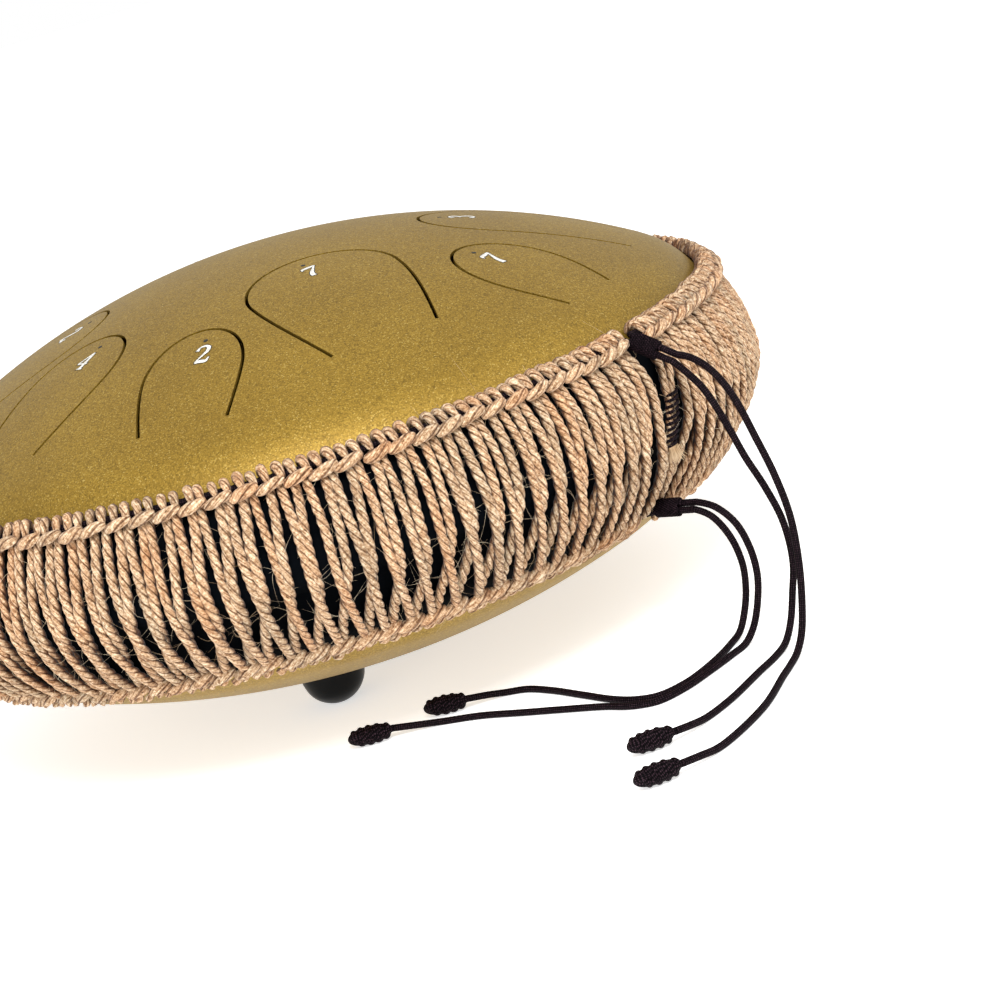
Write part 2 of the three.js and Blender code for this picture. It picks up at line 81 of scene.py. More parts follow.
DOME_RADIUS = 268.3
DOME_CROWN = float(box_mm("top_shell")[1][2]) - SEAM_Z
DOME_SHOULDER = 35.0
DOME_CAP_END = 138.0

BELLY_RADIUS = 295.8
BELLY_BOTTOM = -69.7
BELLY_CAP_END = 124.0
SOUND_HOLE_R = 30.0

BAND_R = 165.0                      # outside of the rope band at the seam
BAND_EDGE = 33.0                    # half height of the band
BAND_INSET_TOP = 13.0
BAND_INSET_BOTTOM = 22.0
LINING_GAP = 0.5
LINING_THICK = 1.6

CLOSURE_DEG = -43.5
STRAND_GAP_DEG = 1.35
EDGING_GAP_DEG = 2.2
PAIR_COUNT = 118
STRAND_R = 1.66
LAY_LENGTH = 12.0                   # length of one turn of a strand's three plies

CORD_D = 2.3
PAIR_OFFSET = 1.3
KNOT_LEAN_DEG = -45.0
STOPPER_LENGTH = 15.0
STOPPER_R = 3.4

FOOT_CIRCLE = 60.0
FOOT_FIRST_DEG = -104.3
FOOT_R = 11.3
FOOT_CENTRE_Z = 10.9

SLOT = 1.2                          # width of a laser-cut slot
TONGUE_STEP_DEG = 360 / 11
FIRST_TONGUE_DEG = -70.5
# steps round the drum, radii of the tip, widest place and open end, half widths at the widest place
# and at the open end, the tongue's number, and the number's radius
TONGUES = [
    (0, 46.2, 70.9, 116.2, 26.6, 18.5, "7", 61.0),
    (1, 88.0, 112.0, 135.0, 18.0, 13.0, "7", 101.6),
    (2, 60.0, 87.0, 130.5, 23.5, 19.0, "3", 75.0),
    (3, 78.0, 101.0, 131.0, 18.6, 14.0, "6", 92.0),
    (4, 50.0, 76.0, 119.0, 25.4, 19.0, "1", 65.0),
    (5, 84.0, 107.0, 132.0, 17.6, 13.5, "1", 98.0),
    (6, 34.0, 61.0, 108.0, 27.8, 20.0, "6", 48.5),
    (7, 72.0, 96.0, 128.0, 19.4, 14.5, "5", 86.0),
    (8, 56.0, 82.0, 123.0, 23.0, 18.0, "2", 71.0),
    (9, 71.0, 95.0, 127.0, 20.0, 15.0, "4", 85.0),
    (10, 81.4, 105.2, 128.3, 17.5, 15.0, "2", 96.0),
]

# Free tails, each from where its cord leaves the slide knot, over the rim and along the floor.
UPPER_SLIDE = (156.8, 102.5, -27.0, 10.5)     # radius, height above the floor, fall in degrees, length
LOWER_SLIDE = (147.6, 45.0, 0.0, 10.0)
UPPER_OUTER_TAIL = [
    (128.8, -122.5, 94.6), (132.3, -126.4, 91.6), (135.4, -130.3, 86.6), (137.8, -133.8, 79.9),
    (140.3, -137.8, 67.6), (142.5, -141.6, 55.1), (143.5, -144.2, 42), (142.3, -145.4, 27.5),
    (139.8, -146.4, 14.6), (136.9, -149.2, 6), (133.4, -154.6, 2.1), (129.6, -161.6, 1.2),
    (125.8, -169.2, 1.2), (116.3, -189, 1.2), (104.1, -205.6, 1.2), (97.8, -211.9, 1.3),
    (92.4, -216.4, 2.4),
]
UPPER_INNER_TAIL = [
    (129.6, -122.1, 85), (132.2, -124.2, 77.9), (134.5, -125.9, 69.1), (136.7, -127.6, 59.7),
    (139.9, -130.5, 49.2), (142.2, -132.9, 37.7), (141.8, -134, 24.4), (138.9, -135.2, 14.6),
    (135.6, -138.2, 6.6), (131.8, -143.2, 2.2), (127.2, -149.8, 1.2), (120.4, -158.8, 1.2),
    (107.6, -176, 1.2), (98.6, -185.2, 1.3), (93.6, -190.2, 2.4),
]
LOWER_OUTER_TAIL = [
    (124.3, -117.9, 44.1), (128.7, -122.1, 38.3), (130.8, -124.2, 29.5), (130.7, -124.9, 20.5),
    (128.4, -124.6, 11.4), (125, -126.2, 4.6), (120.8, -130.4, 1.4), (115.1, -136.6, 1.2),
    (106.8, -145, 1.2), (96.7, -154, 1.2), (87.4, -158.4, 1.2), (79.4, -155.9, 1.2),
    (70.8, -148.6, 1.2), (58.2, -139.9, 1.2), (45.5, -131.4, 1.2), (32.5, -122.6, 1.2),
    (20, -117, 1.2), (10.6, -115.6, 2.3),
]
LOWER_INNER_TAIL = [
    (122.3, -116, 41.2), (126, -119.4, 34.1), (127.5, -120, 24.6), (126.5, -118.6, 15),
    (124, -118.3, 7.4), (120.8, -120.8, 2.6), (116.6, -126, 1.2), (108, -139, 1.2),
    (97.6, -149.8, 1.2), (88.2, -153.8, 1.2), (80.8, -150.9, 1.2), (74.6, -144.8, 1.2),
    (66, -132.4, 1.2), (57, -119.2, 1.2), (48.9, -110.2, 1.2), (42, -107.4, 1.3), (36.4, -107.6, 2.3),
]
# name, slide knot, side of the pair, route, where the stopper knot starts, and its direction in degrees
TAILS = [
    ("upper_outer", UPPER_SLIDE, 1, UPPER_OUTER_TAIL, (86.4, -220.6), 193),
    ("upper_inner", UPPER_SLIDE, -1, UPPER_INNER_TAIL, (88.2, -194.2), 189),
    ("lower_outer", LOWER_SLIDE, 1, LOWER_OUTER_TAIL, (3.6, -115.4), 178),
    ("lower_inner", LOWER_SLIDE, -1, LOWER_INNER_TAIL, (29.6, -108.6), 172),
]
STRAIGHT = 6.0                      # cord past a slide knot that stays straight

# Strokes of the numbers, as (x, y, width) in units of a number's height.
STROKES = {
    "1": [[(-.15, .33, .05), (0, .42, .1), (.03, .48, .12)], [(.03, .48, .13), (.03, 0, .16), (.03, -.45, .16)],
          [(-.17, -.47, .06), (.03, -.47, .07), (.22, -.47, .06)]],
    "2": [[(-.24, .25, .14), (-.15, .44, .08), (.05, .49, .1), (.2, .36, .15), (.18, .15, .15), (-.02, -.12, .09),
           (-.26, -.42, .06)], [(-.27, -.44, .12), (-.05, -.43, .17), (.15, -.47, .15), (.27, -.28, .05)]],
    "3": [[(-.22, .3, .14), (-.1, .45, .08), (.08, .47, .09), (.19, .33, .15), (.13, .14, .1), (-.05, .06, .05)],
          [(-.05, .06, .05), (.14, 0, .1), (.24, -.2, .16), (.14, -.42, .11), (-.06, -.49, .08), (-.24, -.36, .15)]],
    "4": [[(.1, .48, .12), (-.1, .15, .08), (-.28, -.15, .07)], [(-.28, -.16, .08), (0, -.16, .09), (.28, -.16, .08)],
          [(.1, .48, .1), (.11, 0, .16), (.11, -.45, .16)], [(-.04, -.47, .06), (.11, -.47, .07), (.26, -.47, .06)]],
    "5": [[(.22, .47, .07), (0, .44, .12), (-.16, .45, .1)], [(-.16, .45, .06), (-.18, .25, .07), (-.19, .08, .06)],
          [(-.19, .08, .06), (.02, .15, .1), (.2, 0, .14), (.22, -.22, .16), (.08, -.44, .11), (-.1, -.48, .08),
           (-.24, -.38, .14)]],
    "6": [[(.2, .45, .12), (-.02, .4, .08), (-.2, .08, .15), (-.21, -.2, .16), (-.1, -.44, .1), (.06, -.49, .07),
           (.21, -.33, .15), (.21, -.1, .15), (.06, .05, .07), (-.12, -.02, .07), (-.2, -.14, .05)]],
    "7": [[(-.27, .24, .05), (-.24, .38, .12), (-.02, .41, .17), (.29, .46, .1)],
          [(.29, .46, .06), (.1, .12, .11), (-.06, -.2, .17), (-.1, -.49, .2)]],
}
NUMBER_HEIGHT = 8.8

# ------------------------------------------------------------------ numpy helpers


def smooth(t, low, high):
    """Zero below low, one above high, and a smooth S between."""
    x = np.clip((t - low) / (high - low), 0, 1)
    return x * x * (3 - 2 * x)


def polar(azimuth_deg, r, z):
    """Points from azimuth, radius and height above the floor, stacked on the last axis."""
    a = np.radians(azimuth_deg)
    r, z, a = np.broadcast_arrays(r, z, a)
    return np.stack([r * np.cos(a), r * np.sin(a), z], -1)


def unit(v):
    return v / np.maximum(np.linalg.norm(v, axis=-1, keepdims=True), 1e-12)


def curve_points(points, spacing, power=0.5):
    """A centripetal Catmull-Rom curve through points, sampled at even steps of its length."""
    p = np.asarray(points, float)
    p = np.vstack([2 * p[0] - p[1], p, 2 * p[-1] - p[-2]])
    knots = np.concatenate([[0], np.cumsum(np.linalg.norm(np.diff(p, axis=0), axis=1) ** power)])
    k = len(p) - 3
    fine = np.linspace(0, k, 60 * k + 1)
    i = np.minimum(fine.astype(int), k - 1)
    t = (knots[i + 1] + (fine - i) * (knots[i + 2] - knots[i + 1]))[:, None]
    t0, t1, t2, t3 = (knots[i + j][:, None] for j in range(4))
    p0, p1, p2, p3 = (p[i + j] for j in range(4))
    a1 = (t1 - t) / (t1 - t0) * p0 + (t - t0) / (t1 - t0) * p1
    a2 = (t2 - t) / (t2 - t1) * p1 + (t - t1) / (t2 - t1) * p2
    a3 = (t3 - t) / (t3 - t2) * p2 + (t - t2) / (t3 - t2) * p3
    b1 = (t2 - t) / (t2 - t0) * a1 + (t - t0) / (t2 - t0) * a2
    b2 = (t3 - t) / (t3 - t1) * a2 + (t - t1) / (t3 - t1) * a3
    line = (t2 - t) / (t2 - t1) * b1 + (t - t1) / (t2 - t1) * b2
    return even(line, spacing)


def even(line, spacing):
    """A line sampled again at even steps of its length."""
    along = np.concatenate([[0], np.cumsum(np.linalg.norm(np.diff(line, axis=0), axis=1))])
    wanted = np.linspace(0, along[-1], max(int(round(along[-1] / spacing)), 2) + 1)
    return np.stack([np.interp(wanted, along, line[:, c]) for c in range(line.shape[1])], -1)


def carried_side(line):
    """A side direction for each station, carried along the line without turning about it."""
    tangent = unit(np.gradient(line, axis=0))
    side = np.cross(tangent[0], (0.0, 0.0, 1.0))
    if np.linalg.norm(side) < 0.1:
        side = np.array((1.0, 0.0, 0.0))
    sides = []
    for t in tangent:
        side = unit(side - np.dot(side, t) * t)
        sides.append(side)
    return np.array(sides)


def tubes(paths, sections, outward):
    """Closed tubes along many paths at once.

    paths is (tubes, stations, 3). sections is (tubes, stations, corners, 2), each corner's distance along
    the side and the outward direction. A point is its station plus those two, and each end has a middle
    point that closes it. Gives points, quads, triangles and one UV for each face corner: round, then along.
    """
    k, m = paths.shape[:2]
    sections = np.broadcast_to(sections, (k, m) + sections.shape[-2:])
    n = sections.shape[2]
    tangent = unit(np.gradient(paths, axis=1))
    out = unit(outward - (outward * tangent).sum(-1, keepdims=True) * tangent)
    side = np.cross(out, tangent)
    points = (
        paths[:, :, None] + sections[..., :1] * side[:, :, None] + sections[..., 1:] * out[:, :, None]
    )
    index = np.arange(k * m * n).reshape(k, m, n)
    right = np.roll(index, -1, axis=2)
    quads = np.stack([index[:, :-1], index[:, 1:], right[:, 1:], right[:, :-1]], -1).reshape(-1, 4)
    ends = np.stack([paths[:, 0], paths[:, -1]], 1).reshape(-1, 3)
    cap = k * m * n + np.arange(2 * k).reshape(k, 2)
    first = np.stack([index[:, 0], right[:, 0], np.broadcast_to(cap[:, :1], (k, n))], -1)
    last = np.stack([right[:, -1], index[:, -1], np.broadcast_to(cap[:, 1:], (k, n))], -1)
    triangles = np.concatenate([first.reshape(-1, 3), last.reshape(-1, 3)])

    along = np.zeros((k, m))
    along[:, 1:] = np.cumsum(np.linalg.norm(np.diff(paths, axis=1), axis=-1), axis=1)
    u0 = np.broadcast_to(np.arange(n) / n, (k, m - 1, n))
    u1 = u0 + 1 / n
    v0 = np.broadcast_to(along[:, :-1, None], (k, m - 1, n))
    v1 = np.broadcast_to(along[:, 1:, None], (k, m - 1, n))
    quad_uv = np.stack([u0, v0, u0, v1, u1, v1, u1, v0], -1).reshape(-1, 2)
    v_end = np.concatenate([np.zeros(k * n * 3), np.repeat(along[:, -1], n * 3)])
    u_end = np.tile(np.stack([u0[0, 0], u1[0, 0], u0[0, 0]], -1).reshape(-1), 2 * k)
    uv = np.vstack([quad_uv, np.stack([u_end, v_end], -1)])
    return np.vstack([points.reshape(-1, 3), ends]), quads, triangles, uv


def ply_section(radius, turn, plies=3, corners=4, depth=0.62):
    """The section of a laid strand: circles of depth times the radius round the middle, turned by turn.

    radius and turn are (tubes, stations). The outline's distance from the middle is c cos(w) plus the root
    of a squared less c squared sin squared (w), with w the angle from the nearest circle's middle.
    """
    n = plies * corners
    place = np.arange(n) / n * 2 * np.pi
    w = (np.arange(n) % corners) / corners * 2 * np.pi / plies - np.pi / plies
    c = 1 - depth
    reach = c * np.cos(w) + np.sqrt(depth**2 - (c * np.sin(w)) ** 2)
    angle = turn[..., None] + place
    size = radius[..., None] * reach
    return np.stack([size * np.cos(angle), size * np.sin(angle)], -1)


def laid(paths, radius, outward, lay=LAY_LENGTH, start=0.0, **form):
    """Twisted strands along many paths: a ply section that turns once in each lay length.

    Gives the shape, and how far each of its points faces outwards: its distance out over the radius.
    """
    along = np.zeros(paths.shape[:2])
    along[:, 1:] = np.cumsum(np.linalg.norm(np.diff(paths, axis=1), axis=-1), axis=1)
    turn = 2 * np.pi * along / lay + start
    radius = np.broadcast_to(radius, along.shape)
    section = ply_section(radius, turn, **form)
    facing = (section[..., 1] / radius[..., None]).ravel()
    return tubes(paths, section, outward), np.concatenate([facing, np.zeros(2 * len(paths))])


def joined(parts):
    """Several shapes as one: points, quads, triangles and UVs put end to end."""
    points, quads, triangles, quad_uv, triangle_uv = [], [], [], [], []
    count = 0
    for p, q, t, uv in parts:
        points.append(p)
        quads.append(q + count)
        triangles.append(t + count)
        quad_uv.append(uv[: 4 * len(q)])
        triangle_uv.append(uv[4 * len(q):])
        count += len(p)
    return (np.vstack(points), np.vstack(quads), np.vstack(triangles),
            np.vstack(quad_uv + triangle_uv))


def make_piece(name, shape, material, body="root", sharp_deg=None, **values):
    """Puts a shape into a mesh piece that rides on a body. Each of the values is one number for each point."""
    points, quads, triangles, uv = shape
    mesh = bpy.data.meshes.new(name)
    mesh.from_pydata((points * MM).astype(np.float32), [], quads.tolist() + triangles.tolist())
    layer = mesh.uv_layers.new(name="UVMap")
    layer.data.foreach_set("uv", uv.astype(np.float32).ravel())
    for key, value in values.items():
        mesh.attributes.new(key, "FLOAT", "POINT").data.foreach_set("value", value.astype(np.float32))
    mesh.polygons.foreach_set("use_smooth", np.ones(len(mesh.polygons), bool))
    if sharp_deg:
        mesh.set_sharp_from_angle(angle=math.radians(sharp_deg))
    mesh.materials.append(material)
    piece = bpy.data.objects.new(name, mesh)
    bpy.context.scene.collection.objects.link(piece)
    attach(piece, body)
    return piece


def turned(profile, segments=192):
    """A closed (r, h) profile turned about the drum's axis: x = r cos a, y = r sin a."""
    profile = np.asarray(profile, float)
    m = len(profile)
    angle = np.arange(segments) / segments * 360
    points = polar(angle[:, None], profile[:, 0], profile[:, 1] + SEAM_Z).reshape(-1, 3)
    i, j = np.meshgrid(np.arange(segments), np.arange(m), indexing="ij")
    i2, j2 = (i + 1) % segments, (j + 1) % m
    quads = np.stack([i * m + j, i2 * m + j, i2 * m + j2, i * m + j2], -1).reshape(-1, 4)
    uv = np.zeros((len(quads) * 4, 2))
    return points, quads, np.zeros((0, 3), int), uv


# ------------------------------------------------------------------ profiles of the two bowls


def dome_profile():
    """The top bowl's outside as (place, r, h): the cap, the shoulder, the wall and out along the flange.

    The place equals r on the cap and runs on by length after it.
    """
    end = math.asin(DOME_CAP_END / DOME_RADIUS)
    centre = DOME_CROWN - DOME_RADIUS
    r_cap = np.linspace(0, DOME_CAP_END, 300)
    cap = np.stack([r_cap, centre + np.sqrt(DOME_RADIUS**2 - r_cap**2)], -1)
    foot = centre + (DOME_RADIUS - DOME_SHOULDER) * math.cos(end)
    a = np.linspace(end, math.pi / 2, 60)[1:]
    shoulder = np.stack([RIM_R - DOME_SHOULDER * (1 - np.sin(a)), foot + DOME_SHOULDER * np.cos(a)], -1)
    h = np.linspace(foot, LIP + 1, 12)[1:]
    wall = np.stack([np.full_like(h, RIM_R), h], -1)
    b = np.linspace(0, math.pi / 2, 8)[1:]
    fillet = np.stack([RIM_R + 1 - np.cos(b), LIP + 1 - np.sin(b)], -1)
    flange = np.array([[FLANGE_R - 1, LIP], [FLANGE_R, LIP]])
    return placed(cap, np.vstack([shoulder, wall, fillet, flange]))


def belly_profile():
    """The bottom bowl's outside as (place, r, h), from the sound hole out to the flange."""
    centre = BELLY_BOTTOM + BELLY_RADIUS
    r_cap = np.linspace(0, BELLY_CAP_END, 300)
    cap = np.stack([r_cap, centre - np.sqrt(BELLY_RADIUS**2 - r_cap**2)], -1)
    slope = math.asin(BELLY_CAP_END / BELLY_RADIUS)
    start = cap[-1]
    corners = np.array([start, start + 12 * np.array([math.cos(slope), math.sin(slope)]),
                        [RIM_R - 3.2, -15.7], [RIM_R, 0]])
    t = np.linspace(0, 0.95, 80)[1:, None]
    curve = ((1 - t) ** 3 * corners[0] + 3 * t * (1 - t) ** 2 * corners[1]
             + 3 * t * t * (1 - t) * corners[2] + t**3 * corners[3])
    flange = np.array([[RIM_R + 0.6, -LIP], [FLANGE_R - 1, -LIP], [FLANGE_R, -LIP]])
    return placed(cap, np.vstack([curve, flange]))


def placed(cap, rest):
    """Adds the place to a profile: r on the cap, and r plus the length run after it."""
    steps = np.linalg.norm(np.diff(np.vstack([cap[-1:], rest]), axis=0), axis=1)
    place = np.concatenate([cap[:, 0], cap[-1, 0] + np.cumsum(steps)])
    return np.column_stack([place, np.vstack([cap, rest])])


DOME = dome_profile()
BELLY = belly_profile()


def on_bowl(profile, place, azimuth_deg, lift=0.0):
    """Points on a bowl's outside, lifted along its outward normal, and moved in when lift is negative.

    The normal is the profile's direction turned a quarter, away from the seam's plane.
    """
    slope = np.gradient(profile[:, 1:], profile[:, 0], axis=0)
    sign = 1.0 if profile[0, 2] > 0 else -1.0
    normal = unit(np.stack([-slope[:, 1], slope[:, 0]], -1)) * sign
    r, h, nr, nh = (np.interp(place, profile[:, 0], c) for c in (*profile[:, 1:].T, *normal.T))
    return polar(azimuth_deg, r + nr * lift, SEAM_Z + h + nh * lift)


def bowl_radius(h):
    """Outside radius of the bowls at a height from the seam."""
    top = DOME[(DOME[:, 0] >= DOME_CAP_END - 60) & (DOME[:, 2] > LIP + 1)]
    low = BELLY[(BELLY[:, 0] >= 60) & (BELLY[:, 2] < -LIP)]
    both = np.vstack([low[:, 1:], top[::-1, 1:]])
    order = np.argsort(both[:, 1], kind="stable")
    return np.interp(h, both[order, 1], both[order, 0])


def band_radius(h):
    """Outside radius of the rope band: it bulges most at the seam and falls off with height squared."""
    inset = np.where(h > 0, BAND_INSET_TOP, BAND_INSET_BOTTOM)
    return BAND_R - inset * (h / BAND_EDGE) ** 2


# ------------------------------------------------------------------ pressed sheets with cut outlines


def slot_outline(tongue):
    """A slot's closed outline in plan: half an ellipse round the tip, drawn-in sides, square open ends.

    The centre line is moved half a slot's width to each side.
    """
    step, tip, widest, end, half, end_half = tongue[:6]
    t = np.linspace(1, 0, 14)[:-1]
    side_r = widest + (end - widest) * t
    side_w = half + (end_half - half) * t * t * (3 - t) / 2
    a = np.linspace(np.pi / 2, -np.pi / 2, 49)
    tip_r, tip_w = widest - (widest - tip) * np.cos(a), half * np.sin(a)
    line = np.stack([np.concatenate([side_r, tip_r, side_r[::-1]]),
                     np.concatenate([side_w, tip_w, -side_w[::-1]])], -1)
    along = unit(np.gradient(line, axis=0))
    across = np.stack([-along[:, 1], along[:, 0]], -1) * SLOT / 2
    outline = np.vstack([line + across, (line - across)[::-1]])
    angle = math.radians(FIRST_TONGUE_DEG + step * TONGUE_STEP_DEG)
    turn = np.array([[math.cos(angle), math.sin(angle)], [-math.sin(angle), math.cos(angle)]])
    return outline @ turn


def inside(points, outline):
    """True for each point inside a closed outline: an edge crosses its level to its right an odd number of times."""
    a, b = outline, np.roll(outline, -1, axis=0)
    x, y = points[:, :1], points[:, 1:]
    level = (a[:, 1] > y) != (b[:, 1] > y)
    rise = np.where(b[:, 1] == a[:, 1], 1.0, b[:, 1] - a[:, 1])
    cross = a[:, 0] + (y - a[:, 1]) / rise * (b[:, 0] - a[:, 0])
    return (level & (x < cross)).sum(1) % 2 == 1


def near(points, outline, distance):
    """True for each point closer to an outline's corners than a distance."""
    low, high = outline.min(0) - distance, outline.max(0) + distance
    found = np.zeros(len(points), bool)
    box = np.flatnonzero(((points > low) & (points < high)).all(1))
    gaps = np.linalg.norm(points[box, None] - outline[None], axis=2).min(1)
    found[box] = gaps < distance
    return found


def pressed_sheet(profile, cuts, hole_r, spacing=3.2, rim_spacing=2.4):
    """A steel bowl with true thickness, and outlines cut through it.

    In plan, rings of points and the cuts' outlines are joined into Delaunay triangles, the cap ends in one
    ring of even points, and rings of quads carry on from it to the rim. Each plan point gives one point
    outside and one a sheet's thickness inside, and every open edge is walled.
    """
    columns = int(round(2 * np.pi * RIM_R / rim_spacing))
    cap_end = DOME_CAP_END if profile is DOME else BELLY_CAP_END
    rim_angle = np.arange(columns) / columns * 360
    rings = [np.zeros((0, 2))]
    first = spacing if not hole_r else hole_r + spacing
    for r in np.arange(first, cap_end - spacing * 0.6, spacing):
        count = int(round(2 * np.pi * r / spacing))
        rings.append(polar(np.arange(count) / count * 360 + r * 37, r, 0)[:, :2])
    if not hole_r:
        rings.append(np.zeros((1, 2)))
    grid = np.vstack(rings)
    edge = polar(rim_angle, cap_end, 0)[:, :2]
    loops = [edge] + list(cuts)
    if hole_r:
        hole = polar(np.arange(96) / 96 * 360, hole_r, 0)[:, :2]
        loops.append(hole)
    for cut in cuts:
        grid = grid[~inside(grid, cut) & ~near(grid, cut, spacing * 0.4)]
    plan = np.vstack(loops + [grid])
    starts = np.cumsum([0] + [len(loop) for loop in loops])
    edges = [np.stack([np.arange(s, e), np.roll(np.arange(s, e), -1)], -1) for s, e in zip(starts, starts[1:])]
    vertices, _, faces, *_ = delaunay_2d_cdt(plan.tolist(), np.vstack(edges).tolist(), [], 0, 1e-5)
    flat = np.array([v[:] for v in vertices])
    triangles = np.array(faces)
    middle = flat[triangles].mean(1)
    keep = np.ones(len(triangles), bool)
    for cut in list(cuts) + ([hole] if hole_r else []):
        keep &= ~inside(middle, cut)
    triangles = triangles[keep]

    place = np.linalg.norm(flat, axis=1)
    angle = np.degrees(np.arctan2(flat[:, 1], flat[:, 0])) % 360
    on_edge = np.flatnonzero(place > cap_end - 1e-3)
    order = np.round(angle[on_edge] / 360 * columns).astype(int) % columns
    ring = np.empty(columns, int)
    ring[order] = on_edge
    beyond = profile[:, 0] > cap_end + 1e-6
    length = profile[-1, 0] - cap_end
    count = max(int(length / rim_spacing), 8)
    places = np.interp(np.linspace(0, 1, count + 1)[1:], np.linspace(0, 1, beyond.sum()), profile[beyond, 0])
    ring_index = len(flat) + np.arange(count * columns).reshape(count, columns)
    rows = np.vstack([ring[None], ring_index])
    place = np.concatenate([place, np.repeat(places, columns)])
    angle = np.concatenate([angle, np.tile(rim_angle, count)])
    nxt = np.roll(rows, -1, axis=1)
    quads = np.stack([rows[:-1], rows[1:], nxt[1:], nxt[:-1]], -1).reshape(-1, 4)

    side = np.concatenate([triangles[:, [0, 1]], triangles[:, [1, 2]], triangles[:, [2, 0]],
                           quads[:, [0, 1]], quads[:, [1, 2]], quads[:, [2, 3]], quads[:, [3, 0]]])
    n = len(place)
    key = side.min(1) * n + side.max(1)
    _, back, counts = np.unique(key, return_inverse=True, return_counts=True)
    open_edge = side[counts[back] == 1]
    wall = np.stack([open_edge[:, 1], open_edge[:, 0], open_edge[:, 0] + n, open_edge[:, 1] + n], -1)
    outer = on_bowl(profile, place, angle)
    inner = on_bowl(profile, place, angle, -SHEET)
    all_quads = np.vstack([quads, quads[:, ::-1] + n, wall])
    all_triangles = np.vstack([triangles, triangles[:, ::-1] + n])
    if profile is BELLY:
        all_quads, all_triangles = all_quads[:, ::-1], all_triangles[:, ::-1]
    uv = np.zeros((4 * len(all_quads) + 3 * len(all_triangles), 2))
    return np.vstack([outer, inner]), all_quads, all_triangles, uv


# ------------------------------------------------------------------ materials


def colour(code):
    """An sRGB hex value as linear red, green, blue and alpha."""
    value = np.array([int(code[i:i + 2], 16) for i in (1, 3, 5)]) / 255
    linear = np.where(value <= 0.04045, value / 12.92, ((value + 0.055) / 1.055) ** 2.4)
    return (*map(float, linear), 1.0)


def new_material(name, **values):
    """A material with its Principled shader's own values set. Gives the material, its tree and the shader."""
    material = bpy.data.materials.new(name)
    material.use_nodes = True
    shader = material.node_tree.nodes["Principled BSDF"]
    for key, value in values.items():
        shader.inputs[key.replace("_", " ")].default_value = value
    return material, material.node_tree, shader


def node(tree, kind, settings=None, **inputs):
    """Adds a node with its settings, and fills or links its inputs by name or number."""
    made = tree.nodes.new(kind)
    for key, value in (settings or {}).items():
        setattr(made, key, value)
    for key, value in inputs.items():
        numbered = key[0] == "i" and key[1:].isdigit()
        socket = made.inputs[int(key[1:]) if numbered else key.replace("_", " ")]
        if isinstance(value, bpy.types.NodeSocket):
            tree.links.new(value, socket)
        else:
            socket.default_value = value
    return made


def ramp(tree, factor, stops, interpolation="LINEAR"):
    """A colour ramp over a factor, from (place, hex colour) stops."""
    made = node(tree, "ShaderNodeValToRGB", None, Fac=factor)
    made.color_ramp.interpolation = interpolation
    while len(made.color_ramp.elements) < len(stops):
        made.color_ramp.elements.new(0.5)
    for element, (place, code) in zip(made.color_ramp.elements, stops):
        element.position = place
        element.color = colour(code)
    return made


def maths(tree, operation, a, b=None, c=None, clamp=False):
    """One step of arithmetic on factors."""
    inputs = {"i0": a}
    if b is not None:
        inputs["i1"] = b
    if c is not None:
        inputs["i2"] = c
    return node(tree, "ShaderNodeMath", {"operation": operation, "use_clamp": clamp}, **inputs).outputs[0]


def mix(tree, factor, a, b, blend="MIX"):
    """Two colours mixed by a factor."""
    made = node(tree, "ShaderNodeMix", {"data_type": "RGBA", "blend_type": blend}, i0=factor, i6=a, i7=b)
    return made.outputs[2]


def bump(tree, shader, height, strength, distance_mm):
    """Bumps a shader's normal by a height."""
    made = node(tree, "ShaderNodeBump", None, Height=height, Strength=strength, Distance=distance_mm * MM)
    tree.links.new(made.outputs[0], shader.inputs["Normal"])


def gold_paint(looks):
    """Sprayed metallic gold lacquer: fine light and dark flakes under a semi-matt film with orange peel.

    Real flakes are under 0.1 mm, too fine to show, so they are drawn about four times as coarse.
    """
    material, tree, shader = new_material("metallic_gold_lacquer", Metallic=0.5, Specular_IOR_Level=0.4)
    place = node(tree, "ShaderNodeTexCoord").outputs["Object"]
    flakes = node(tree, "ShaderNodeTexVoronoi", None, Vector=place, Scale=1 / (looks.flake_mm * MM))
    grain = node(tree, "ShaderNodeTexNoise", None, Vector=place, Scale=900.0, Detail=2.0)
    cloud = node(tree, "ShaderNodeTexNoise", None, Vector=place, Scale=22.0, Detail=3.0)
    value = node(tree, "ShaderNodeSeparateColor", None, Color=flakes.outputs["Color"]).outputs[0]
    tint = ramp(tree, value, [(0.0, "#574211"), (0.3, "#866B22"), (0.7, "#997A2A"), (0.95, "#B3953F"),
                              (1.0, "#D0B76C")])
    base = mix(tree, 0.66, tuple(looks.gold), tint.outputs[0])
    shade = ramp(tree, cloud.outputs["Fac"], [(0.3, "#EDEBE6"), (0.7, "#FFFFFF")])
    tree.links.new(mix(tree, 1.0, base, shade.outputs[0], "MULTIPLY"), shader.inputs["Base Color"])
    rough = maths(tree, "MULTIPLY_ADD", grain.outputs["Fac"], 0.2, 0.38)
    tree.links.new(rough, shader.inputs["Roughness"])
    peel = node(tree, "ShaderNodeTexNoise", None, Vector=place, Scale=700.0, Detail=3.0)
    height = maths(tree, "MULTIPLY_ADD", value, 0.3, peel.outputs["Fac"])
    bump(tree, shader, height, 0.3, 0.1)
    return material


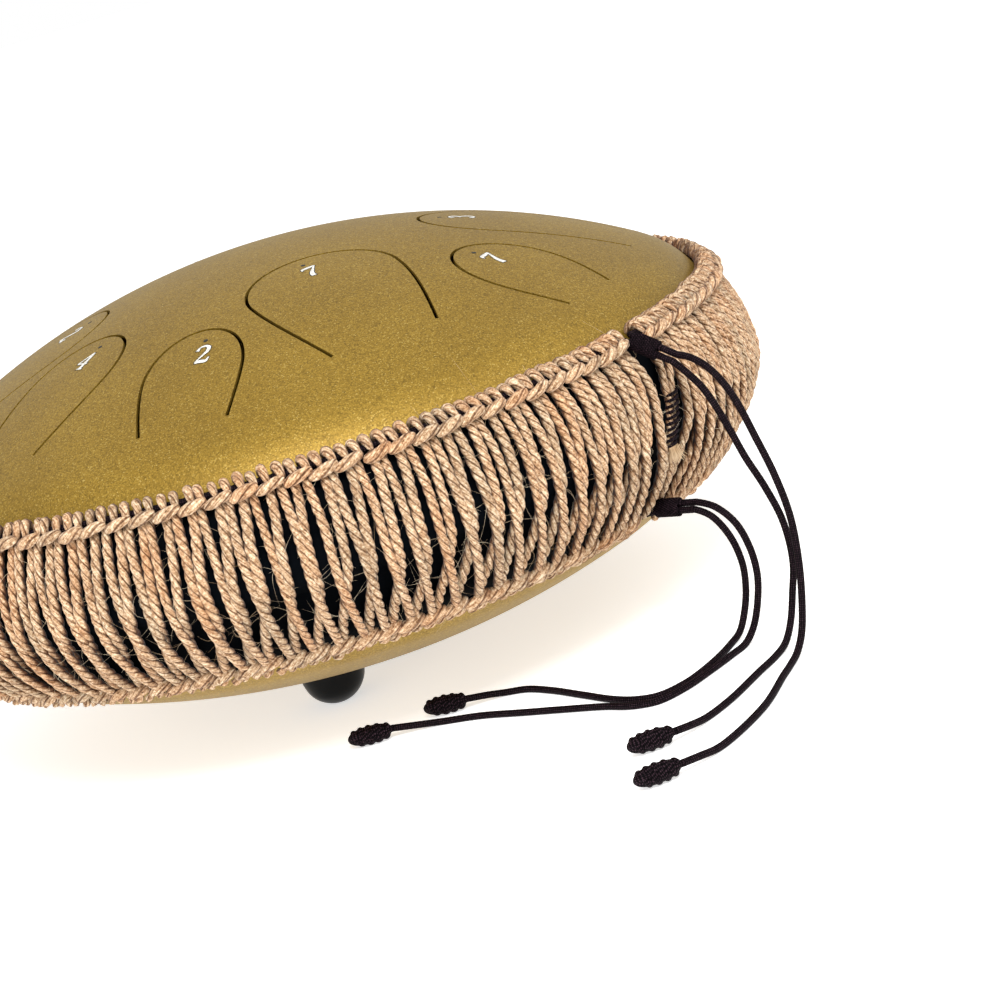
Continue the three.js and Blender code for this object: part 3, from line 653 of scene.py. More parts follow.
def jute(looks):
    """Laid jute: dry plant fibre, tan with straw-grey and ginger stretches, and painted shade where plies meet."""
    material, tree, shader = new_material("laid_jute_yarn", Roughness=0.85, Specular_IOR_Level=0.2,
                                          Sheen_Weight=0.1, Sheen_Roughness=0.5)
    where = node(tree, "ShaderNodeUVMap", {"uv_map": "UVMap"}).outputs[0]
    split = node(tree, "ShaderNodeSeparateXYZ", None, Vector=where)
    place = node(tree, "ShaderNodeTexCoord").outputs["Object"]
    tone = node(tree, "ShaderNodeAttribute", {"attribute_name": "tone"}).outputs["Fac"]
    ply = maths(tree, "FRACT", maths(tree, "MULTIPLY", split.outputs[0], 3.0))
    groove = maths(tree, "ABSOLUTE", maths(tree, "MULTIPLY_ADD", ply, 2.0, -1.0))
    # fibres 0.45 mm wide and 3 mm long: u runs round a strand of about 10 mm girth, v is in millimetres
    fibre_place = node(tree, "ShaderNodeCombineXYZ", None, X=maths(tree, "MULTIPLY", split.outputs[0], 23.0),
                       Y=maths(tree, "MULTIPLY", split.outputs[1], 0.33), Z=maths(tree, "MULTIPLY", tone, 57.0))
    fibres = node(tree, "ShaderNodeTexNoise", None, Vector=fibre_place.outputs[0], Scale=1.0, Detail=5.0,
                  Roughness=0.7)
    flecks = node(tree, "ShaderNodeTexNoise", None, Vector=place, Scale=1100.0, Detail=3.0, Roughness=0.7)
    patches = node(tree, "ShaderNodeTexNoise", None, Vector=place, Scale=75.0, Detail=2.0)
    long_fibres = maths(tree, "MULTIPLY", fibres.outputs["Fac"], 0.55)
    stripe = maths(tree, "MULTIPLY_ADD", flecks.outputs["Fac"], 0.45, long_fibres)
    body = ramp(tree, stripe, [(0.35, "#4A3020"), (0.43, "#927052"), (0.51, "#C6A789"), (0.60, "#F2E3CD")])
    hue = maths(tree, "MULTIPLY_ADD", patches.outputs["Fac"], 0.9, maths(tree, "MULTIPLY_ADD", tone, 0.5, -0.2))
    tint = ramp(tree, hue, [(0.2, "#E0DDD3"), (0.45, "#F6EFE3"), (0.6, "#F4E9DA"), (0.85, "#EDD5BC")])
    body = mix(tree, 1.0, body.outputs[0], tint.outputs[0], "MULTIPLY")
    # painted shade in the grooves where the plies meet, as strong as the ply shadow setting
    dark = ramp(tree, groove, [(0.7, "#FFFFFF"), (0.88, "#946E52"), (1.0, "#24140A")])
    # painted shade: a strand is darker where it turns towards the lining, away from the light
    facing = node(tree, "ShaderNodeAttribute", {"attribute_name": "facing"}).outputs["Fac"]
    shade = ramp(tree, maths(tree, "MULTIPLY_ADD", facing, 0.5, 0.5),
                 [(0.2, "#22130A"), (0.5, "#7E624C"), (0.78, "#FFFFFF")])
    body = mix(tree, 1.0, body, shade.outputs[0], "MULTIPLY")
    tree.links.new(mix(tree, looks.groove, body, mix(tree, 1.0, body, dark.outputs[0], "MULTIPLY")),
                   shader.inputs["Base Color"])
    bump(tree, shader, stripe, 0.9, 0.45)
    return material


def jute_hair():
    """Single loose jute fibres: pale, dry and slightly shiny."""
    material, tree, shader = new_material("loose_jute_fibre", Roughness=0.6, Specular_IOR_Level=0.3)
    place = node(tree, "ShaderNodeTexCoord").outputs["Object"]
    cloud = node(tree, "ShaderNodeTexNoise", None, Vector=place, Scale=60.0)
    tree.links.new(ramp(tree, cloud.outputs["Fac"], [(0.35, "#A98760"), (0.65, "#E8D6B8")]).outputs[0],
                   shader.inputs["Base Color"])
    return material


def braided_cord():
    """Fine braided polyester cord: near-black brown, with a painted plum sheen on its small diamond picks."""
    material, tree, shader = new_material("braided_polyester_cord", Roughness=0.6, Specular_IOR_Level=0.04)
    where = node(tree, "ShaderNodeUVMap", {"uv_map": "UVMap"}).outputs[0]
    split = node(tree, "ShaderNodeSeparateXYZ", None, Vector=where)
    around = maths(tree, "MULTIPLY", split.outputs[0], 6 * 2 * math.pi)
    along = maths(tree, "MULTIPLY", split.outputs[1], 2 * math.pi / 1.5)
    one = maths(tree, "SINE", maths(tree, "ADD", around, along))
    two = maths(tree, "SINE", maths(tree, "SUBTRACT", around, along))
    picks = maths(tree, "MULTIPLY_ADD", maths(tree, "MULTIPLY", one, two), 0.5, 0.5)
    place = node(tree, "ShaderNodeTexCoord").outputs["Object"]
    fuzz = node(tree, "ShaderNodeTexNoise", None, Vector=place, Scale=1800.0, Detail=2.0)
    both = maths(tree, "MULTIPLY_ADD", fuzz.outputs["Fac"], 0.5, maths(tree, "MULTIPLY", picks, 0.5))
    # the picks are painted a lighter plum: a painted sheen on the crowns of the braid
    yarn = ramp(tree, both, [(0.4, "#020102"), (0.58, "#0E080C"), (0.8, "#45333B")])
    tree.links.new(yarn.outputs[0], shader.inputs["Base Color"])
    bump(tree, shader, both, 0.6, 0.2)
    return material


def rubber(name, code, rough, gloss):
    """Moulded black rubber: deep black, satin, with a faint mottle from the mould."""
    material, tree, shader = new_material(name, Specular_IOR_Level=gloss)
    place = node(tree, "ShaderNodeTexCoord").outputs["Object"]
    mottle = node(tree, "ShaderNodeTexNoise", None, Vector=place, Scale=350.0, Detail=3.0)
    light = mix(tree, 0.04, colour(code), colour("#2A2E36"))
    tree.links.new(mix(tree, mottle.outputs["Fac"], colour(code), light), shader.inputs["Base Color"])
    tree.links.new(maths(tree, "MULTIPLY_ADD", mottle.outputs["Fac"], 0.2, rough - 0.1), shader.inputs["Roughness"])
    bump(tree, shader, mottle.outputs["Fac"], 0.2, 0.1)
    return material


def steel(name, code, rough, scale):
    """Plain or plated steel with a fine uneven finish."""
    material, tree, shader = new_material(name, Metallic=1.0)
    place = node(tree, "ShaderNodeTexCoord").outputs["Object"]
    uneven = node(tree, "ShaderNodeTexNoise", None, Vector=place, Scale=scale, Detail=4.0)
    tree.links.new(mix(tree, uneven.outputs["Fac"], colour(code), colour("#77756F")), shader.inputs["Base Color"])
    tree.links.new(maths(tree, "MULTIPLY_ADD", uneven.outputs["Fac"], 0.3, rough - 0.15), shader.inputs["Roughness"])
    bump(tree, shader, uneven.outputs["Fac"], 0.25, 0.15)
    return material


def print_ink(name, code, rough, metallic=0.0):
    """Printed ink or foil: one colour with slightly uneven cover."""
    material, tree, shader = new_material(name, Metallic=metallic, Roughness=rough)
    place = node(tree, "ShaderNodeTexCoord").outputs["Object"]
    cover = node(tree, "ShaderNodeTexNoise", None, Vector=place, Scale=1100.0, Detail=2.0)
    worn = ramp(tree, cover.outputs["Fac"], [(0.3, "#C9C4B8"), (0.6, "#FFFFFF")])
    tree.links.new(mix(tree, 1.0, colour(code), worn.outputs[0], "MULTIPLY"), shader.inputs["Base Color"])
    return material


def studio_paper():
    """Matt pale studio floor, lit through from below as a light table is, so that shadows stay faint."""
    material, _, shader = new_material("studio_paper", Roughness=0.9, Specular_IOR_Level=0.1,
                                       Emission_Strength=0.6)
    shader.inputs["Emission Color"].default_value = colour("#FFFFFF")
    shader.inputs["Base Color"].default_value = colour("#F4F4F3")
    return material


MADE = {}


def finish_of(name, make, *values):
    """A material made once and kept by name."""
    if name not in MADE:
        MADE[name] = make(*values)
    return MADE[name]


# ------------------------------------------------------------------ settings


class DRUM_PG_looks(bpy.types.PropertyGroup):
    """Sizes and colours that a user would change."""

    gold: FloatVectorProperty(name="Gold", description="Ground colour of the metallic lacquer", subtype="COLOR",
                              size=4, min=0, max=1, default=colour("#937426"))
    flake_mm: FloatProperty(name="Flake size", description="Spacing of the lacquer's flakes in millimetres",
                            default=0.36, min=0.1, max=3)
    groove: FloatProperty(name="Ply shadow", description="How dark the lines between a strand's plies are",
                          default=0.8, min=0, max=1, subtype="FACTOR")
    number_height: FloatProperty(name="Number height", description="Height of the numbers in millimetres",
                                 default=NUMBER_HEIGHT, min=4, max=16)


class DRUM_PG_band(bpy.types.PropertyGroup):
    """How the rope band is made."""

    pairs: IntProperty(name="Strand pairs", description="Pairs of jute strands round the rim",
                       default=PAIR_COUNT, min=40, max=200)
    hairs: IntProperty(name="Loose fibres", description="Loose fibres that stand out of the rope",
                       default=4200, min=0, max=4500)
    show_hairs: BoolProperty(name="Show loose fibres", description="Makes the loose fibres", default=True)


# ------------------------------------------------------------------ pieces


class DRUM_OT_shells(bpy.types.Operator):
    """Makes the two steel bowls, with their slots, sound hole and stud holes"""

    bl_idname = "drum.shells"
    bl_label = "Steel Bowls"

    def execute(self, context):
        gold = finish_of("gold", gold_paint, context.scene.drum_looks)
        top = make_piece("top_bowl", pressed_sheet(DOME, [slot_outline(t) for t in TONGUES], 0), gold,
                         sharp_deg=40)
        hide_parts("top_shell")
        studs = FOOT_FIRST_DEG + np.arange(3) * 120
        around = np.arange(24) / 24 * 360
        holes = [polar(a, FOOT_CIRCLE, 0)[:2] + polar(around, 2.4, 0)[:, :2] for a in studs]
        bottom = make_piece("bottom_bowl", pressed_sheet(BELLY, holes, SOUND_HOLE_R), gold, sharp_deg=40)
        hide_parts("bottom_shell")
        weld = finish_of("weld", steel, "welded_mild_steel", "#5F5B55", 0.6, 500.0)
        set_finish("seam_weld", weld)
        return {"FINISHED"}


def set_finish(cad_node, material):
    """Gives a carried-over CAD node a material."""
    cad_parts[cad_node].data.materials.clear()
    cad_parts[cad_node].data.materials.append(material)


def ribbon(stroke, number_height, azimuth, r_middle, grow, lift):
    """A number's stroke as a thin closed strip on the dome.

    Its middle line and width run smoothly through the stroke's points. Its six corners at each station
    are the two edges on the dome, the same two lifted, and two more drawn in to the full lift.
    """
    line = curve_points(np.array(stroke) * number_height, 0.35)
    along = unit(np.gradient(line[:, :2], axis=0))
    across = np.stack([-along[:, 1], along[:, 0]], -1)
    half = line[:, 2:] / 2 + grow
    ends = np.vstack([-along[:1] * grow, along[-1:] * grow])
    middle = line[:, :2].copy()
    middle[[0, -1]] += ends
    corners = []
    for reach, height in ((half, 0.0), (half, lift * 0.7), (half * 0.86, lift), (-half * 0.86, lift),
                          (-half, lift * 0.7), (-half, 0.0)):
        flat = middle + across * reach
        r = r_middle - flat[:, 1]
        place, turn = np.hypot(r, flat[:, 0]), np.degrees(np.arctan2(flat[:, 0], r))
        corners.append(on_bowl(DOME, place, azimuth + turn, height))
    points = np.stack(corners, 1)
    m, n = points.shape[:2]
    index = np.arange(m * n).reshape(m, n)
    right = np.roll(index, -1, axis=1)
    quads = np.stack([index[:-1], right[:-1], right[1:], index[1:]], -1).reshape(-1, 4)
    fan = np.stack([np.zeros(n - 2, int), np.arange(2, n), np.arange(1, n - 1)], -1)
    triangles = np.vstack([fan, fan[:, ::-1] + (m - 1) * n])
    return points.reshape(-1, 3), quads, triangles, np.zeros((4 * len(quads) + 3 * len(triangles), 2))


def dot(azimuth, r_middle, radius, lift):
    """A small domed dot on the top bowl: rings of points whose height falls off with radius squared."""
    turn = np.arange(20) / 20 * 2 * np.pi
    rings = []
    for share, height in ((1.0, 0.0), (0.96, 0.6), (0.75, 0.9), (0.4, 1.0)):
        x, y = radius * share * np.cos(turn), radius * share * np.sin(turn)
        r = r_middle - y
        rings.append(on_bowl(DOME, np.hypot(r, x), azimuth + np.degrees(np.arctan2(x, r)), height * lift))
    points = np.vstack(rings)
    index = np.arange(80).reshape(4, 20)
    right = np.roll(index, -1, axis=1)
    quads = np.stack([index[:-1], right[:-1], right[1:], index[1:]], -1).reshape(-1, 4)
    fan = np.stack([np.full(18, 60), np.arange(61, 79), np.arange(62, 80)], -1)
    base = np.stack([np.full(18, 0), np.arange(2, 20), np.arange(1, 19)], -1)
    triangles = np.vstack([fan, base])
    return points, quads, triangles, np.zeros((4 * len(quads) + 54 * 2, 2))


class DRUM_OT_numbers(bpy.types.Operator):
    """Makes the printed numbers and dots on the tongues, and a painted shadow round each number"""

    bl_idname = "drum.numbers"
    bl_label = "Numbers"

    def execute(self, context):
        height = context.scene.drum_looks.number_height
        # black ink for the printed dots, and for the painted shadow round each number
        ink = finish_of("ink", print_ink, "black_screen_print", "#14110A", 0.5)
        silver = finish_of("silver", print_ink, "silver_foil_print", "#F4F3EE", 0.35, 0.25)
        # the black outline round each number is a painted shadow at its edge; the black dots are print
        for name, material, grow, lift in (("number_shadow_rims_and_dots", ink, 0.28, 0.05),
                                           ("numbers", silver, 0.0, 0.12)):
            parts = []
            for step, *_, digit, r in TONGUES:
                azimuth = FIRST_TONGUE_DEG + step * TONGUE_STEP_DEG
                shift = 1.6 if step == 10 else 0.0
                parts += [ribbon(s, height, azimuth + shift, r, grow, lift) for s in STROKES[digit]]
                if material is ink:
                    parts.append(dot(azimuth + shift, r - 7.6, 0.8, 0.12))
            piece = make_piece(name, joined(parts), material, sharp_deg=50)
        return {"FINISHED"}


def band_azimuth(s, h, pairs):
    """Azimuth of a place s pitches round the band, in degrees.

    A pitch is 17 % less beside the joint, and widens with an exponential over ten pitches. The joint
    itself leans: its azimuth grows with height up to two thirds of the band's half height, then less.
    """
    s, h = np.broadcast_arrays(s + 0.5, h)
    squeeze, reach = 0.17, 10.0
    near_end = 1 - np.exp(-s / reach)
    far_end = np.exp(-(pairs - s) / reach) - math.exp(-pairs / reach)
    total = pairs - 2 * squeeze * reach * (1 - math.exp(-pairs / reach))
    turned_by = (360 - 2 * STRAND_GAP_DEG) * (s - squeeze * reach * (near_end + far_end)) / total
    lean = -0.9 + 1.9 * smooth(h, -5, 18) - 0.7 * smooth(h, 18, 29)
    from_joint = STRAND_GAP_DEG + np.minimum(turned_by, 360 - 2 * STRAND_GAP_DEG - turned_by)
    return CLOSURE_DEG + STRAND_GAP_DEG + turned_by + lean * np.exp(-np.maximum(from_joint, 0) / 14)


def strand_lines(pairs, rng):
    """The middle lines of the band's strands, two for each pair, from the upper edging to the lower.

    In pitches round the drum, a front strand goes down with a slight drift to the right. A back strand
    goes down beside it, then swings left by about a pitch, behind the front strand of the pair before,
    where it is set in towards the lining. Both follow the band's outside at their own thickness.
    The first pair is drawn together where the lacing holds it.
    """
    stations = 56
    t = np.linspace(0, 1, stations)[None]
    pair = np.arange(pairs)[:, None]

    def wave(size):
        turn = t * rng.uniform(0.5, 1.4, (pairs, 1)) + rng.uniform(0, 1, (pairs, 1))
        return size * np.sin(2 * np.pi * turn)

    h = 27.8 - 56.8 * t + 0 * pair
    spread = smooth(t, 0.0, 0.3)
    front = pair + 0.17 + 0.03 * spread + 0.24 * t + wave(0.055) * spread + rng.normal(0, 0.035, (pairs, 1))
    swing = smooth(t, 0.5 + rng.normal(0, 0.05, (pairs, 1)), 1.05)
    back = (pair - 0.17 - 0.04 * spread - 0.2 * smooth(t, 0.1, 0.7) + wave(0.055) * spread
            - 0.96 * swing + rng.normal(0, 0.035, (pairs, 1)))
    back = np.maximum(back, -0.42 + 0.1 * t)
    thick = STRAND_R * rng.normal(1.0, 0.05, (2, pairs, 1))
    thick[1] *= 1.04
    crossing = smooth(t, 0.48, 0.72) - 0.35 * smooth(t, 0.86, 1.0)
    r_front = band_radius(h) - STRAND_R - 0.15 + rng.normal(0, 0.16, (pairs, 1)) + wave(0.15)
    r_back = band_radius(h) - STRAND_R - 0.25 - 2.9 * crossing + rng.normal(0, 0.16, (pairs, 1)) + wave(0.15)
    floor_r = bowl_radius(h) + LINING_GAP + LINING_THICK + STRAND_R * 0.9
    azimuths = np.stack([band_azimuth(front, h, pairs), band_azimuth(back, h, pairs)])
    heights = (-28.0, -13.0, -7.4, 7.3, 9.7, 17.0, 27.8)
    azimuths[0, 0] = np.interp(h[0], heights, (-42.6, -43.3, -43.6, -40.9, -40.7, -38.6, -38.9))
    azimuths[1, 0] = np.interp(h[0], heights, (-45.0, -44.5, -44.4, -41.8, -41.8, -40.4, -40.9))
    azimuths[:, 0] = 0.5 * azimuths[:, 0] + 0.25 * (np.roll(azimuths[:, 0], 1, -1) + np.roll(azimuths[:, 0], -1, -1))
    azimuths[:, 0, 0], azimuths[:, 0, -1] = azimuths[:, 0, 1], azimuths[:, 0, -2]
    r = np.stack([r_front, np.maximum(r_back, np.minimum(floor_r, r_front))])
    r[:, 0] = band_radius(h[0]) - STRAND_R - 1.6
    lines = polar(azimuths, r, h + SEAM_Z)
    bulge = 1 + 0.06 * np.sin(np.pi * t) + 0 * pair
    thick = thick * bulge
    thick[:, 0] *= 0.85
    return lines, thick


def outward_of(paths):
    """Level directions away from the drum's axis."""
    out = paths.copy()
    out[..., 2] = 0
    return unit(out)


class DRUM_OT_band(bpy.types.Operator):
    """Makes the rope band: its lining, its twisted strands, its two edgings and its lacing"""

    bl_idname = "drum.band"
    bl_label = "Rope Band"

    def execute(self, context):
        band = context.scene.drum_band
        rng = np.random.default_rng(SEED)
        rope = finish_of("jute", jute, context.scene.drum_looks)
        self.lining()
        lines, thick = strand_lines(band.pairs, rng)
        sectors = 4
        for number, members in enumerate(np.array_split(np.arange(band.pairs), sectors)):
            paths = lines[:, members].reshape(-1, *lines.shape[2:])
            radius = thick[:, members].reshape(-1, lines.shape[2])
            start = rng.uniform(0, 2 * np.pi, (len(paths), 1))
            lay = LAY_LENGTH * rng.normal(1, 0.06, (len(paths), 1))
            shape, facing = laid(paths, radius, outward_of(paths), lay=-lay, start=start)
            tone = np.repeat(rng.uniform(0, 1, len(paths)), paths.shape[1] * 12)
            tone = np.concatenate([tone, np.full(2 * len(paths), 0.5)])
            piece = make_piece(f"rope_strands_{number + 1}", shape, rope, tone=tone, facing=facing)
            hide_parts("rope_strands")
        self.edging("upper", rope, band.pairs, rng)
        self.edging("lower", rope, band.pairs, rng)
        self.lacing(rng)
        if band.show_hairs and band.hairs:
            self.hairs(lines, band.hairs, rng)
        return {"FINISHED"}

    def lining(self):
        """A black rubber sheet behind the ropes, from edging to edging.

        Its inside follows the bowls half a millimetre off. Over the flange it swells outwards, as a smooth
        hump of height, and its edges are thinned.
        """
        h = np.linspace(-30.6, 27.6, 61)
        r = bowl_radius(h) + LINING_GAP
        swell = 1 - smooth(np.abs(h), 2.2, 9.0)
        r = r + np.maximum(0, FLANGE_R + 1.6 - r) * swell
        edge = np.minimum(smooth(h, -30, -23), 1 - smooth(h, 22, 28))
        outside = np.stack([r + 0.4 + (LINING_THICK - 0.4) * edge, h], -1)
        profile = np.vstack([outside, np.stack([r, h], -1)[::-1]])
        black = finish_of("lining", rubber, "black_rubber_sheet", "#020407", 0.75, 0.03)
        piece = make_piece("band_lining_sheet", turned(profile, 240), black, sharp_deg=50)
        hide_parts("band_lining")

    def edging(self, which, rope, pairs, rng):
        """An edging: rows of short fat stitches, one of each row to a pair of strands.

        A stitch runs from s0 to s1 in pitches and from one (r, h) to another, bulging out and up as half a
        sine. Its thickness rises from its ends as the root of half a sine, and its plies lie almost along it.
        Its facing, which sets the rope's painted shade, is raised, because the light reaches all round an edging.
        """
        if which == "upper":
            rows = [(-0.40, -0.10, 150.7, 29.6, 157.2, 28.6, -0.3, 2.9, 1.6),
                    (0.08, 0.38, 150.9, 29.8, 157.2, 28.6, -0.3, 2.7, 1.6),
                    (-0.62, 0.52, 157.0, 26.2, 157.2, 28.9, 0.9, 0.2, 2.0)]
        else:
            rows = [(-1.0, -0.55, 142.2, -33.2, 144.2, -31.4, 0.9, -0.4, 1.3),
                    (-0.5, -0.02, 142.2, -33.2, 144.2, -31.2, 0.9, -0.4, 1.3),
                    (-1.12, 0.08, 145.2, -31.2, 145.8, -28.4, 1.2, 0.0, 2.0)]
        parts, tones, faces = [], [], []
        stations, corners = 15, 12
        t = np.linspace(0, 1, stations)[None]
        pair = np.arange(pairs)[:, None]
        for s0, s1, r0, h0, r1, h1, out, up, radius in rows:
            jitter = rng.normal(0, 1, (5, pairs, 1))
            s = np.clip(pair + s0 + (s1 - s0) * t + 0.04 * jitter[0], -0.3, pairs - 0.7)
            arch = np.sin(np.pi * t)
            r = r0 + (r1 - r0) * t + (out + 0.25 * jitter[1]) * arch
            h = h0 + (h1 - h0) * t + (up + 0.25 * jitter[2]) * arch
            path = polar(band_azimuth(s, h, pairs), r, SEAM_Z + h)
            size = radius * (1 + 0.06 * jitter[3]) * (0.42 + 0.58 * arch ** 0.5)
            shape, facing = laid(path, size, outward_of(path), lay=-26.0, start=jitter[4] * 2, plies=4, corners=3,
                                 depth=0.62)
            parts.append(shape)
            faces.append(0.4 + 0.5 * facing)
            tones.append(np.concatenate([np.repeat(rng.uniform(0, 1, pairs), stations * corners),
                                         np.full(2 * pairs, 0.5)]))
        piece = make_piece(f"rope_{which}_edge", joined(parts), rope, tone=np.concatenate(tones),
                           facing=np.concatenate(faces))
        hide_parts(f"rope_{which}_edging")

    def lacing(self, rng):
        """Black cord wound round the joint's two strands: an oval helix that leans with the joint."""
        cord = finish_of("cord", braided_cord)
        turns, wire = 10, 0.55
        half_width, half_depth = 2.35, 1.75
        a = np.linspace(0, turns * 2 * np.pi, turns * 20)
        h = np.linspace(8.4, -8.2, len(a))
        r = band_radius(h) - 2.9
        azimuth = -42.7 + 0.18 * h
        middle = polar(azimuth, r, SEAM_Z + h)
        out, side = polar(CLOSURE_DEG, 1.0, 0.0), polar(CLOSURE_DEG + 90, 1.0, 0.0)
        wobble = 1 + 0.05 * rng.normal(0, 1, len(a)).cumsum() / math.sqrt(len(a))
        path = (middle + (half_width * wobble * np.cos(a))[:, None] * side
                + (half_depth * wobble * np.sin(a))[:, None] * out)
        section = ply_section(np.full((1, len(a)), wire), np.zeros((1, len(a))), depth=0.9)
        up = np.broadcast_to(np.array((0.0, 0.0, 1.0)), path.shape)[None]
        piece = make_piece("lacing_turns", tubes(path[None], section, up), cord)
        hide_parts("closure_lacing")
        self.tuft(rng)

    def tuft(self, rng):
        """The frayed end of the lacing's rope: a bunch of short bent fibres that fan out as they go down."""
        count = 150
        t = np.linspace(0, 1, 9)[None, :, None]
        out, side = polar(CLOSURE_DEG, 1.0, 0.0), polar(CLOSURE_DEG + 90, 1.0, 0.0)
        down = np.array((0.0, 0.0, -1.0))
        start = polar(-44.1, band_radius(-7.6) - 1.4, SEAM_Z - 7.6)
        place = rng.normal(0, 1, (count, 1, 2)) * (0.95, 0.7)
        begin = start + place[..., :1] * side + place[..., 1:] * out
        length = rng.uniform(3.4, 5.4, (count, 1, 1))
        fan = place * 0.16 + rng.normal(0, 0.07, (count, 1, 2))
        paths = begin + t * length * down + t * t * length * (fan[..., :1] * side + (0.1 + fan[..., 1:]) * out)
        radius = 0.2 * (1 - 0.6 * t[..., 0]) + np.zeros((count, 1))
        angle = np.arange(4) / 4 * 2 * np.pi
        ring = np.stack([np.cos(angle), np.sin(angle)], -1)
        shape = tubes(paths, radius[..., None, None] * ring, np.broadcast_to(out, paths.shape))
        piece = make_piece("lacing_tuft", shape, finish_of("hair", jute_hair))

    def hairs(self, lines, count, rng):
        """Loose fibres: thin three-sided tapering tubes that leave the rope and bend as a parabola."""
        flat = lines.reshape(-1, 3)
        root = flat[rng.integers(0, len(flat), count)]
        out = outward_of(root)
        root = root + out * STRAND_R * 0.8 + rng.normal(0, 0.5, root.shape)
        lean = unit(out * rng.uniform(-0.1, 0.5, (count, 1)) + rng.normal(0, 1, root.shape) * (0.5, 0.5, 0.8))
        bend = rng.normal(0, 1, root.shape)
        length = rng.uniform(2.0, 8.5, (count, 1, 1))
        t = np.linspace(0, 1, 7)[None, :, None]
        paths = root[:, None] + length * (t * lean[:, None] + 0.5 * t * t * bend[:, None])
        reach = np.linalg.norm(paths[..., :2], axis=-1, keepdims=True)
        most = band_radius(paths[..., 2:] - SEAM_Z) + 1.8
        paths[..., :2] *= np.minimum(1, most / reach)
        radius = 0.045 * (1 - 0.7 * t[..., 0])
        angle = np.arange(3) / 3 * 2 * np.pi
        ring = np.stack([np.cos(angle), np.sin(angle)], -1)
        sections = radius[..., None, None] * ring
        up = np.broadcast_to(np.array((0.1, 0.2, 1.0)), paths.shape)
        shape = tubes(paths, np.broadcast_to(sections, (count, 7, 3, 2)), up)
        piece = make_piece("loose_fibres", shape, finish_of("hair", jute_hair))


def slide_frame(slide):
    """A slide knot's start, its axis, and the direction from one of its cords to the other."""
    r, z, fall, _ = slide
    fall = math.radians(fall)
    out, up = polar(CLOSURE_DEG, 1.0, 0.0), np.array((0.0, 0.0, 1.0))
    axis = math.cos(fall) * out + math.sin(fall) * up
    upright = -math.sin(fall) * out + math.cos(fall) * up
    lean = math.radians(KNOT_LEAN_DEG)
    across = math.cos(lean) * upright + math.sin(lean) * np.cross(axis, upright)
    return polar(CLOSURE_DEG, r, z), axis, across


def pair_point(slide, distance, side):
    start, axis, across = slide_frame(slide)
    return start + distance * axis + side * PAIR_OFFSET * across


def cord_shape(path, radius=CORD_D / 2, corners=24, picks=6, relief=0.035):
    """A braided cord: radius times one plus relief times two opposite spiral waves, closed flat at each end."""
    side = carried_side(path)
    along = np.concatenate([[0], np.cumsum(np.linalg.norm(np.diff(path, axis=0), axis=1))])
    angle = np.arange(corners) / corners * 2 * np.pi
    phase = 2 * np.pi * along[:, None] / 3.0
    wave = np.sin(picks * angle + phase) * np.sin(picks * angle - phase)
    size = radius * (1 + relief * wave)
    section = np.stack([size * np.cos(angle), size * np.sin(angle)], -1)
    return tubes(path[None], section[None], side[None])


